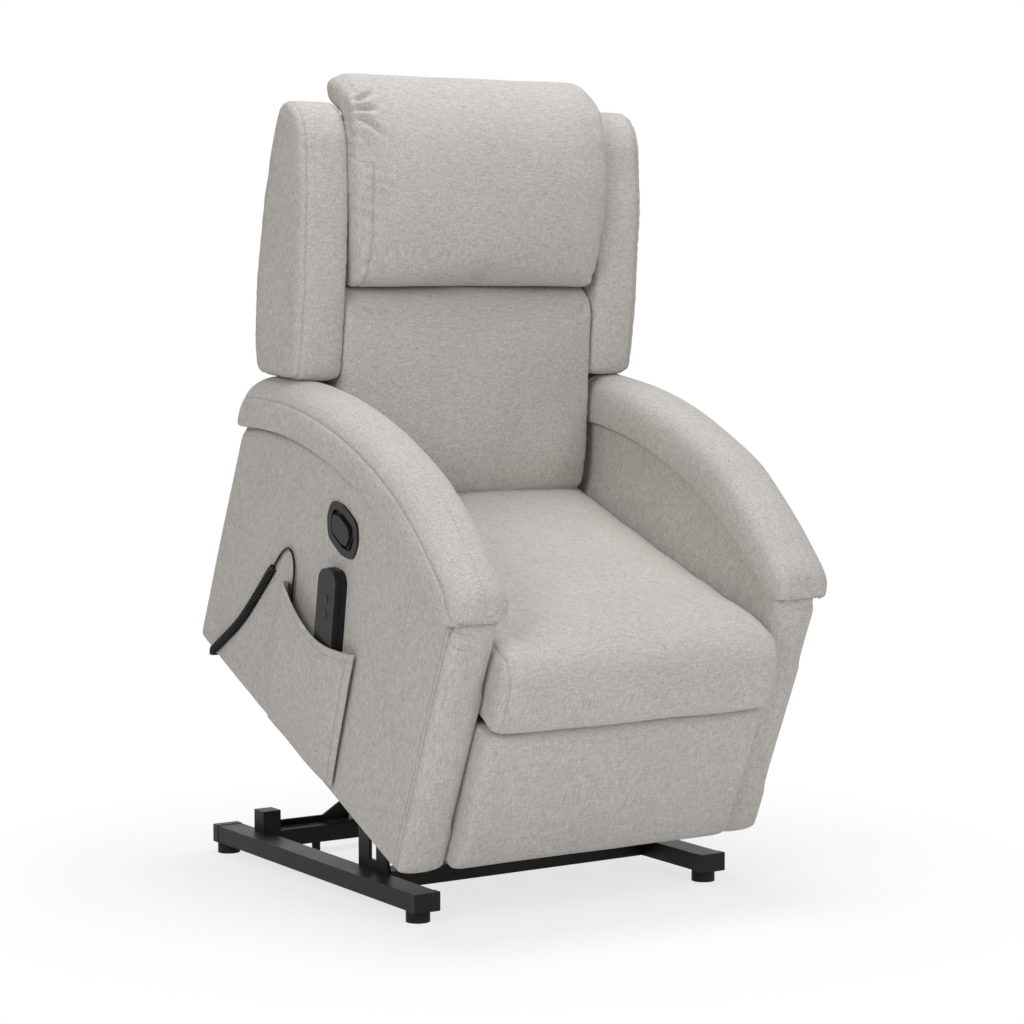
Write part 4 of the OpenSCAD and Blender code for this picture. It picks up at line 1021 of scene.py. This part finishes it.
def makeBackCover(settings):
    h = settings["half"]
    skinAt = lambda v: backLine(v) + settings["frame"]
    outer = [(skinAt(v) + d, v) for v, d in settings["swell"]]
    inner = [(skinAt(v), v) for v in settings["flat"]]
    bm = subdivided(padding(settings, outer + inner, -h, h))
    undulate(bm, *settings["slack"], seed=17.0)
    points, normals = read(bm)
    away = np.abs(points[:, 0]) - settings["seam"]
    sewn(bm, away, settings["seamDepth"], settings["seamWidth"])
    return upholstered("back_cover", bm, "backrest")


makeBackCover(backCover)

# ---- cloth stapled over the sides of the back frame, seen between wing and arm when reclined

sideBand = {"inner": 0.2444, "outer": 0.2468, "low": 0.398, "high": 0.585, "front": -0.012, "rear": 0.0325}


def makeSideBands(settings):
    low, high, front, rear = (settings[key] for key in ("low", "high", "front", "rear"))
    outline = [(backLine(low) + front, low), (backLine(low) + rear, low),
               (backLine(high) + rear, high), (backLine(high) + front, high)]
    for name, side in (("back_side_band_left", 1), ("back_side_band_right", -1)):
        band = toPiece(name, slab(outline, side * settings["inner"], side * settings["outer"]), smooth=False)
        band.data.materials.append(cloth)
        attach(band, "backrest")


makeSideBands(sideBand)

# ---- cloth from the seat frame up to the back frame, so that no slit opens when the back goes down

joinCloth = {"half": 0.2430, "run": [(0.6590, 0.2542), (0.6480, 0.2830), (0.6376, 0.3080), (0.6430, 0.3380)],
             "fixed": 2, "thickness": 0.0014, "steps": 24}


def makeJoinCloth(settings):
    h, t = settings["half"], settings["thickness"] / 2
    run = settings["run"]
    path = spline([(0, u, v) for u, v in run], settings["steps"] + 1)
    rings = [[(-h, p.y - t, p.z), (h, p.y - t, p.z), (h, p.y + t, p.z), (-h, p.y + t, p.z)] for p in path]
    piece = toPiece("seat_back_cloth", loft(rings), smooth=False)
    piece.data.materials.append(cloth)
    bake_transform(piece)
    size = lengthOf(path)
    print("made seat_back_cloth", round(size, 4), "m")


makeJoinCloth(joinCloth)

# ---- footrest panel, wrapped round its board

footPanel = {
    "outline": [(0.034, 0.008), (0.034, 0.2560), (-0.014, 0.2575), (-0.0235, 0.245), (-0.025, 0.190),
                (-0.025, 0.070), (-0.022, 0.018), (-0.010, 0.004)],
    "half": 0.2645, "voxel": 0.0085, "soften": 3, "crown": 0.005, "foot": 0.005, "tall": 0.252,
    "slack": (0.0016, 0.14),
}


def makeFootPanel(settings):
    h = settings["half"]
    bm = subdivided(padding(settings, settings["outline"], -h, h))
    points, normals = read(bm)
    full = crown(points[:, 0] / h, 0.5) * hump((points[:, 2] - settings["foot"]) / settings["tall"], 0.6)
    points[:, 1] -= settings["crown"] * full * facing(normals, 1, -1)
    write(bm, points)
    undulate(bm, *settings["slack"], seed=20.0)
    return upholstered("footrest_panel", bm, "footrest")


makeFootPanel(footPanel)

# ---- side pocket: one sheet, stitched to the panel down both sides and along its bottom

pocket = {
    "columns": [  # from the front hem to the rear, each from the bottom to the mouth: x off the panel, u, v
        [(0.0050, 0.229, 0.016), (0.0075, 0.234, 0.090), (0.0080, 0.240, 0.170), (0.0085, 0.246, 0.252)],
        [(0.0075, 0.252, 0.013), (0.0150, 0.256, 0.085), (0.0185, 0.260, 0.165), (0.0175, 0.264, 0.246)],
        [(0.0075, 0.300, 0.010), (0.0195, 0.303, 0.080), (0.0255, 0.306, 0.155), (0.0265, 0.308, 0.234)],
        [(0.0070, 0.355, 0.009), (0.0205, 0.358, 0.080), (0.0268, 0.360, 0.155), (0.0277, 0.362, 0.230)],
        [(0.0070, 0.410, 0.009), (0.0205, 0.412, 0.080), (0.0268, 0.414, 0.155), (0.0277, 0.416, 0.240)],
        [(0.0080, 0.452, 0.009), (0.0205, 0.456, 0.085), (0.0270, 0.459, 0.170), (0.0275, 0.463, 0.260)],
        [(0.0045, 0.462, 0.009), (0.0120, 0.463, 0.085), (0.0155, 0.466, 0.168), (0.0160, 0.470, 0.258)],
        [(0.0030, 0.486, 0.008), (0.0050, 0.481, 0.080), (0.0060, 0.481, 0.165), (0.0060, 0.484, 0.250)],
        [(0.0012, 0.535, 0.006), (0.0015, 0.520, 0.080), (0.0015, 0.510, 0.160), (0.0015, 0.503, 0.238)],
    ],
    "thickness": 0.0020, "rows": 48, "across": 96, "hem": 0.013, "hemRise": 0.0012,
    "slack": (0.0016, 0.06),
}


def makePocket(settings):
    tall = [spline([(-panelOut - x, u, v) for x, u, v in column], settings["rows"])
            for column in settings["columns"]]
    rings = [spline(level, settings["across"]) for level in zip(*tall)]
    bm = loft(rings, closed=False, capped=False)
    area = sum(f.calc_area() for f in bm.faces)
    bm.normal_update()
    if sum(f.normal.x for f in bm.faces) > 0:
        bmesh.ops.reverse_faces(bm, faces=bm.faces)
    # hems at the mouth and down the front edge, raised and stitched
    points, normals = read(bm)
    hem = settings["hem"]
    raised = np.zeros(len(points), bool)
    for layer, line in (("seam", rings[-1]), ("secondLine", [r[0] for r in rings])):
        off, along = nearLine(points, [list(p) for p in line])
        keep = bm.verts.layers.float.new(layer)
        for v, d in zip(bm.verts, off):
            v[keep] = 1 + seamScale * (d - hem)
        raised |= off < hem
    points += normals * (settings["hemRise"] * raised)[:, None]
    write(bm, points)
    undulate(bm, *settings["slack"], seed=31.0)
    piece = toPiece("side_pocket", bm)
    wall = piece.modifiers.new("Solidify", "SOLIDIFY")
    wall.thickness = settings["thickness"]
    wall.offset = 1.0
    piece.data.materials.append(cloth)
    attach(piece, "carriage")
    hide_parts("side_pocket")
    print("made side_pocket", round(area, 4), "m2")
    return piece


makePocket(pocket)

# ---- floor, backdrop and light

ground = {"size": 20, "tone": 0.94, "near": 0.45, "out": 1.1, "least": 0.74}
light = {
    "world": 0.235,
    "lamps": [  # name, place, aim, size, power
        ("key", (-3.6, -2.0, 2.5), (0, 0, 0.6), 1.8, 60.0),
        ("fill", (0.9, -4.2, 1.9), (0, 0, 0.6), 2.6, 44.0),
        ("top", (0.1, -0.2, 4.2), (0, 0, 0.5), 2.0, 84.0),
    ],
}


def makeFloor(settings):
    bm = bmesh.new()
    bmesh.ops.create_grid(bm, x_segments=1, y_segments=1, size=settings["size"])
    floor = toPiece("floor", bm, tilted=False)
    tone = settings["tone"]
    f = Finish("floor_white", {"Base Color": colour(tone, tone, tone), "Roughness": 0.9,
                               "Specular IOR Level": 0.1})
    x, y = f.add("ShaderNodeSeparateXYZ", {}, {0: f.place()})[:2]
    far = (x * x + y * y).root()
    # the floor turns from a surface that takes the shadow into plain white further out
    fade = f.add("ShaderNodeMapRange", {"interpolation_type": "SMOOTHSTEP"},
                 {0: far, 1: settings["near"], 2: settings["out"], 3: settings["least"], 4: 1.0})[0]
    glow = f.add("ShaderNodeEmission", {}, {"Color": colour(1, 1, 1)})[0]
    surface = Wire(f, f.shader.outputs[0])
    plain = f.add("ShaderNodeMixShader", {}, {0: f.seen() * fade, 1: surface, 2: glow})[0]
    f.links.new(plain.socket, f.out.inputs["Surface"])
    floor.data.materials.append(f.material)


def makeLight(settings):
    for name, place, aim, size, power in settings["lamps"]:
        data = bpy.data.lights.new(name, "AREA")
        data.shape = "DISK"
        data.size = size
        data.energy = power
        lamp = bpy.data.objects.new(name, data)
        scene.collection.objects.link(lamp)
        lamp.location = place
        lamp.rotation_euler = (Vector(aim) - Vector(place)).to_track_quat("-Z", "Y").to_euler()
    world = bpy.data.worlds.new("studio")
    scene.world = world
    nodes = Shading(world)
    soft, white = (nodes.add("ShaderNodeBackground", {}, {"Color": colour(1, 1, 1), "Strength": strength})[0]
                   for strength in (settings["world"], 1.0))
    mixed = nodes.add("ShaderNodeMixShader", {}, {0: nodes.seen(), 1: soft, 2: white})[0]
    nodes.add("ShaderNodeOutputWorld", {}, {"Surface": mixed})


makeFloor(ground)
makeLight(light)
scene.view_settings.view_transform = "Standard"
print("lit")
